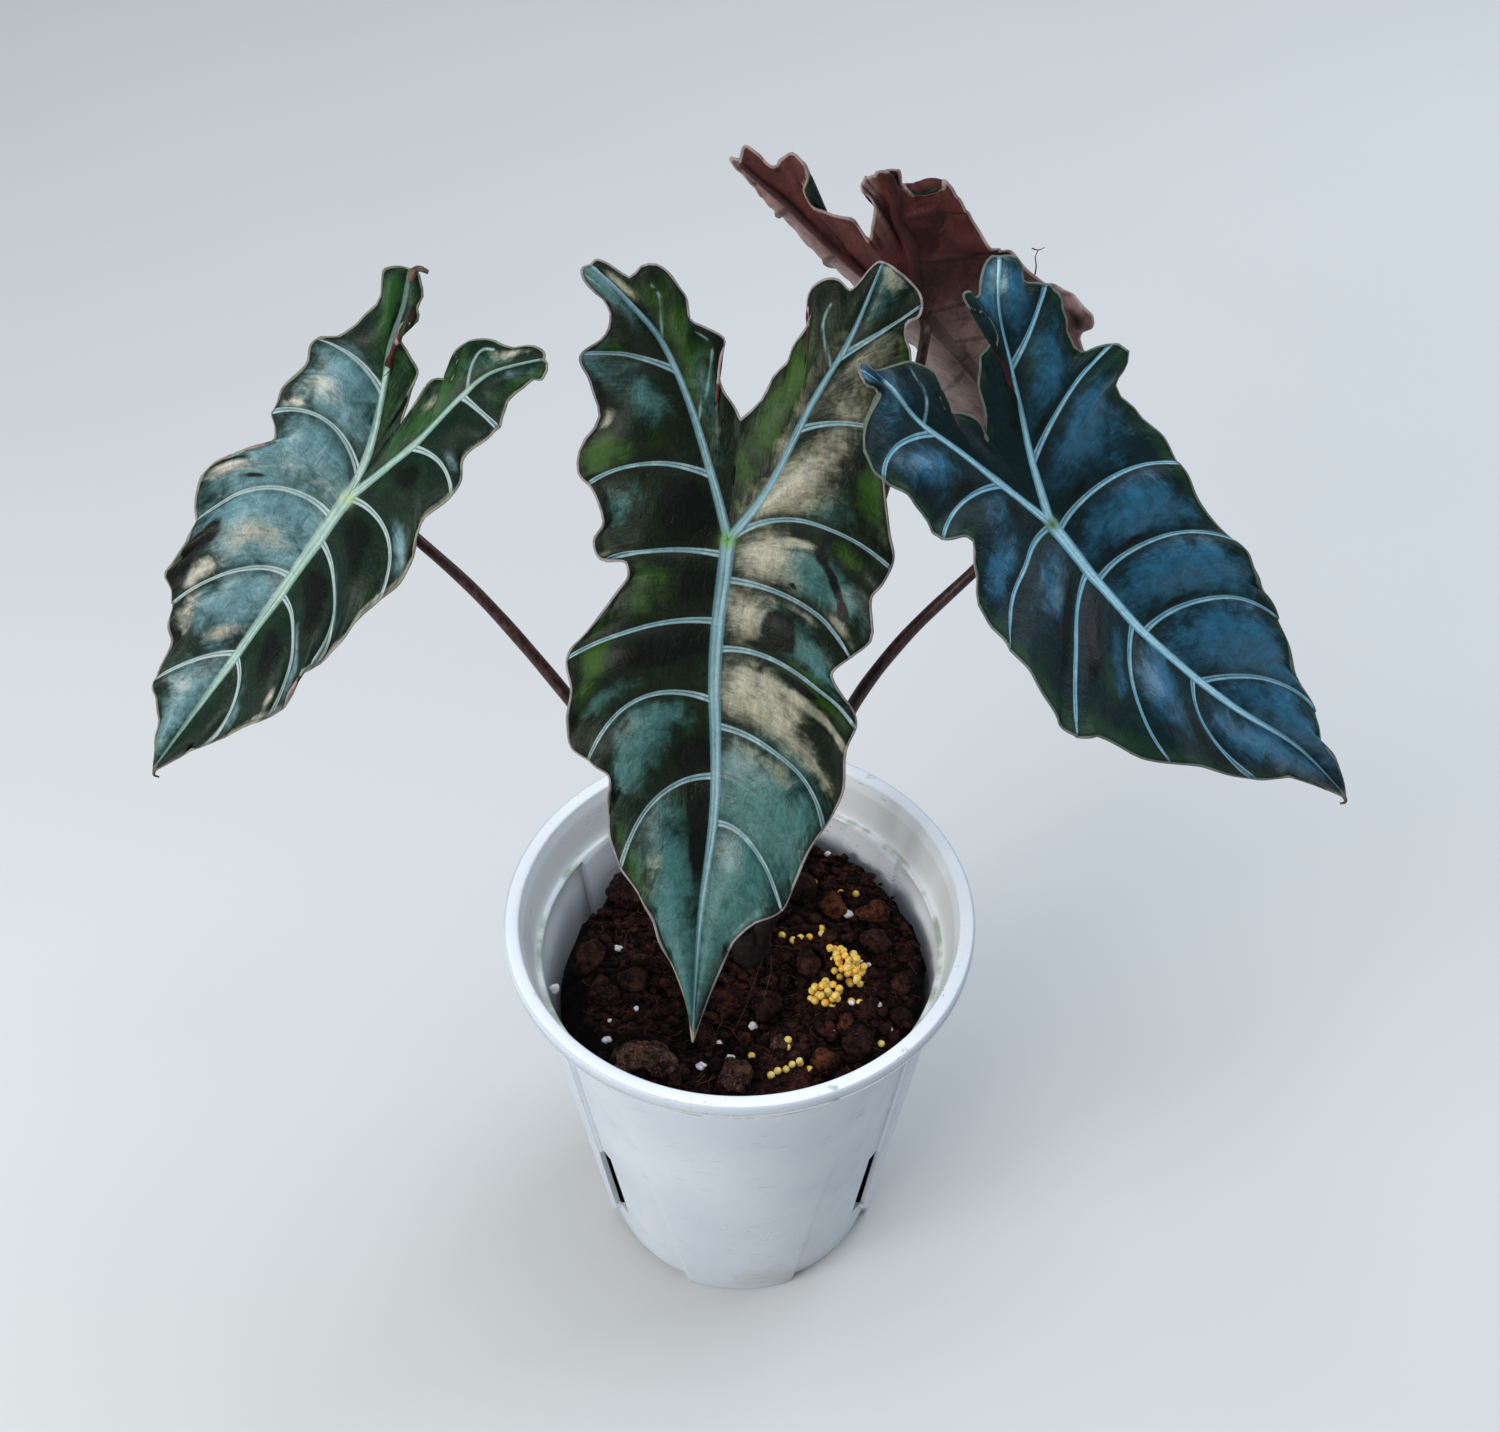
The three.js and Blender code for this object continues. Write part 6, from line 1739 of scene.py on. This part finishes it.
def leaf_finish(name):
    """A leaf's skin: its top and its underside, glossier where the top has painted sheen."""
    tone = LEAF_COLOURS[name]
    look = finish(name + " leaf skin", tone["base"], 0.36, Coat_Roughness=0.15)
    skin = skin_patterns(look)
    lines = [reading(look, line) for line in ("vein", "rib", "edge")]
    colour, cool_sheen, warm_sheen, deep = tinted_top(look, skin, tone)
    colour = veined(look, skin, tone, colour, *lines)
    under = span(look, reading(look, "under"), 0.55, 0.85)
    feed(look, "Base Color", layer(look, under, colour, underside(look, skin, *lines)))
    glossy = span(look, skin["others"], 0.3, 0.7, 0.28, 0.44)
    feed(look, "Roughness", maths(look, "MAXIMUM", glossy, times(look, under, 0.5)))
    shine = times(look, maths(look, "MAXIMUM", cool_sheen, warm_sheen), maths(look, "SUBTRACT", 1.0, deep))
    feed(look, "Specular IOR Level", span(look, shine, 0.0, 1.0, 0.13, 0.42))
    coat = span(look, shine, 0.0, 1.0, 0.04, 0.2)
    feed(look, "Coat Weight", times(look, maths(look, "SUBTRACT", 1.0, under), coat))
    relief = bump(look, skin["fine"], 0.0001, 0.5)
    relief = bump(look, skin["fibres"], 0.0003, 0.5, relief)
    relief = bump(look, skin["creases"], 0.0005, 0.6, relief)
    feed(look, "Normal", bump(look, skin["others"], 0.001, 0.5, relief))
    return look


for seed, name in enumerate(LEAVES):
    blade(name, seed)

# DRY TIPS AND WISP
# The tips of the left and right blades and one lobe of the left blade have dried to thin brown hooks. A
# dried thread, forked at its top, stands on the back leaf's margin.

# Each has its leaf, the flat place that it starts from, its way on from there, and its radius
DRY_BITS = {
    "lobe_hook": ("left", (-63, -20.5, 0.5), [(0.8, 0, 2), (2.6, -0.5, 3.4), (5, -1, 2.6)], 1.3),
    "left_tip_hook": ("left", (111, 0, 0), [(-0.6, 0, -1.5), (-0.8, 0.3, -3), (0.4, 0.5, -4)], 0.6),
    "right_tip_hook": ("right", (139, 0, 0), [(0.8, 0, -1.4), (0.9, 0.2, -3), (-0.4, 0.3, -3.6)], 0.7),
    "wisp": ("back", (6, -32.5, 0), [(0.2, 0, 4), (-0.3, 0.2, 7), (0.3, 0, 9.5)], 0.24),
    "wisp_fork": ("back", (6, -32.5, 0), [(-1.6, 0, 9.9), (0.3, 0, 9.4), (2, 0, 10.2)], 0.22),
}


def dry_bit(name):
    """A thin hook or thread that grows from its leaf. The fork starts at its own first point."""
    leaf, start, way, radius = DRY_BITS[name]
    root = blade_place(leaf)(start)
    steps = [root + np.array(step) * MM for step in way]
    route = steps if name == "wisp_fork" else [root, *steps]
    return bar(smooth_line(route), thinning(radius * MM, 0.55), 30, 10)


dry_look = finish("dried leaf tip", ink(64, 44, 34), 0.7)
mottled = span(dry_look, noise(dry_look, 600, 3), 0.35, 0.65)
feed(dry_look, "Base Color", layer(dry_look, mottled, ink(48, 32, 26), ink(104, 78, 58)))
settle(mesh_piece("dry_tips", *joined([dry_bit(name) for name in DRY_BITS]), dry_look), "leaf")

# THE STUDIO
# A plain pale floor, soft panels of light, and the camera where the viewer stands.

FLOOR_SIZE = 6.0
CAMERA_PLACE = (0.0034, -0.427, 0.668)
CAMERA_ELEVATION = 45.2            # degrees above the floor
CAMERA_LENS = 50.4
SENSOR = 36.0
WORLD_COLOUR = (0.8, 0.88, 1.0, 1)
WORLD_STRENGTH = 0.32
# Each panel's place, the point that it faces, its width, its power in watts and its colour
LIGHTS = {
    "key": ((-0.9, -1.0, 0.85), (0, 0, 0.2), 0.8, 9.5, (1, 0.98, 0.95)),
    "low": ((-1.0, -0.55, 0.5), (0, 0, 0.15), 0.4, 5.6, (1, 0.98, 0.95)),
    "sky": ((1.1, 0.7, 1.2), (0, 0, 0.2), 1.2, 14, (0.82, 0.9, 1)),
    "overhead": ((0.0, 0.2, 1.9), (0, 0, 0.2), 1.4, 18, (0.84, 0.92, 1)),
}


def light_panel(name, where, target, width, power, colour):
    """A square panel of soft light."""
    light = bpy.data.lights.new(name, "AREA")
    light.shape = "SQUARE"
    light.size = width
    light.energy = power
    light.color = colour
    panel = bpy.data.objects.new(name, light)
    panel.location = where
    panel.rotation_euler = (Vector(target) - Vector(where)).to_track_quat("-Z", "Y").to_euler()
    bpy.context.scene.collection.objects.link(panel)


def studio_floor():
    """A pale level floor, which is part of the studio and not of the plant."""
    look = finish("studio floor", ink(204, 204, 202), 0.9)
    feed(look, "Base Color", layer(look, noise(look, 3, 2), ink(202, 202, 200), ink(209, 209, 207)))
    half = FLOOR_SIZE / 2
    corners = [(-half, -half, 0), (half, -half, 0), (half, half, 0), (-half, half, 0)]
    mesh_piece("floor", corners, [(0, 1, 2, 3)], look)


def dim_world():
    """Dim bluish light from all round."""
    world = bpy.data.worlds.new("studio")
    world.use_nodes = True
    world.node_tree.nodes["Background"].inputs["Color"].default_value = WORLD_COLOUR
    world.node_tree.nodes["Background"].inputs["Strength"].default_value = WORLD_STRENGTH
    bpy.context.scene.world = world


def viewer():
    """The camera, which looks down at the plant from the front."""
    lens = bpy.data.cameras.new("camera")
    lens.sensor_width = SENSOR
    lens.lens = CAMERA_LENS
    camera = bpy.data.objects.new("camera", lens)
    camera.location = CAMERA_PLACE
    camera.rotation_euler = (np.radians(90 - CAMERA_ELEVATION), 0, 0)
    bpy.context.scene.collection.objects.link(camera)
    bpy.context.scene.camera = camera


studio_floor()
dim_world()
for name, light in LIGHTS.items():
    light_panel(name, *light)
viewer()
bpy.context.scene.view_settings.view_transform = "Standard"
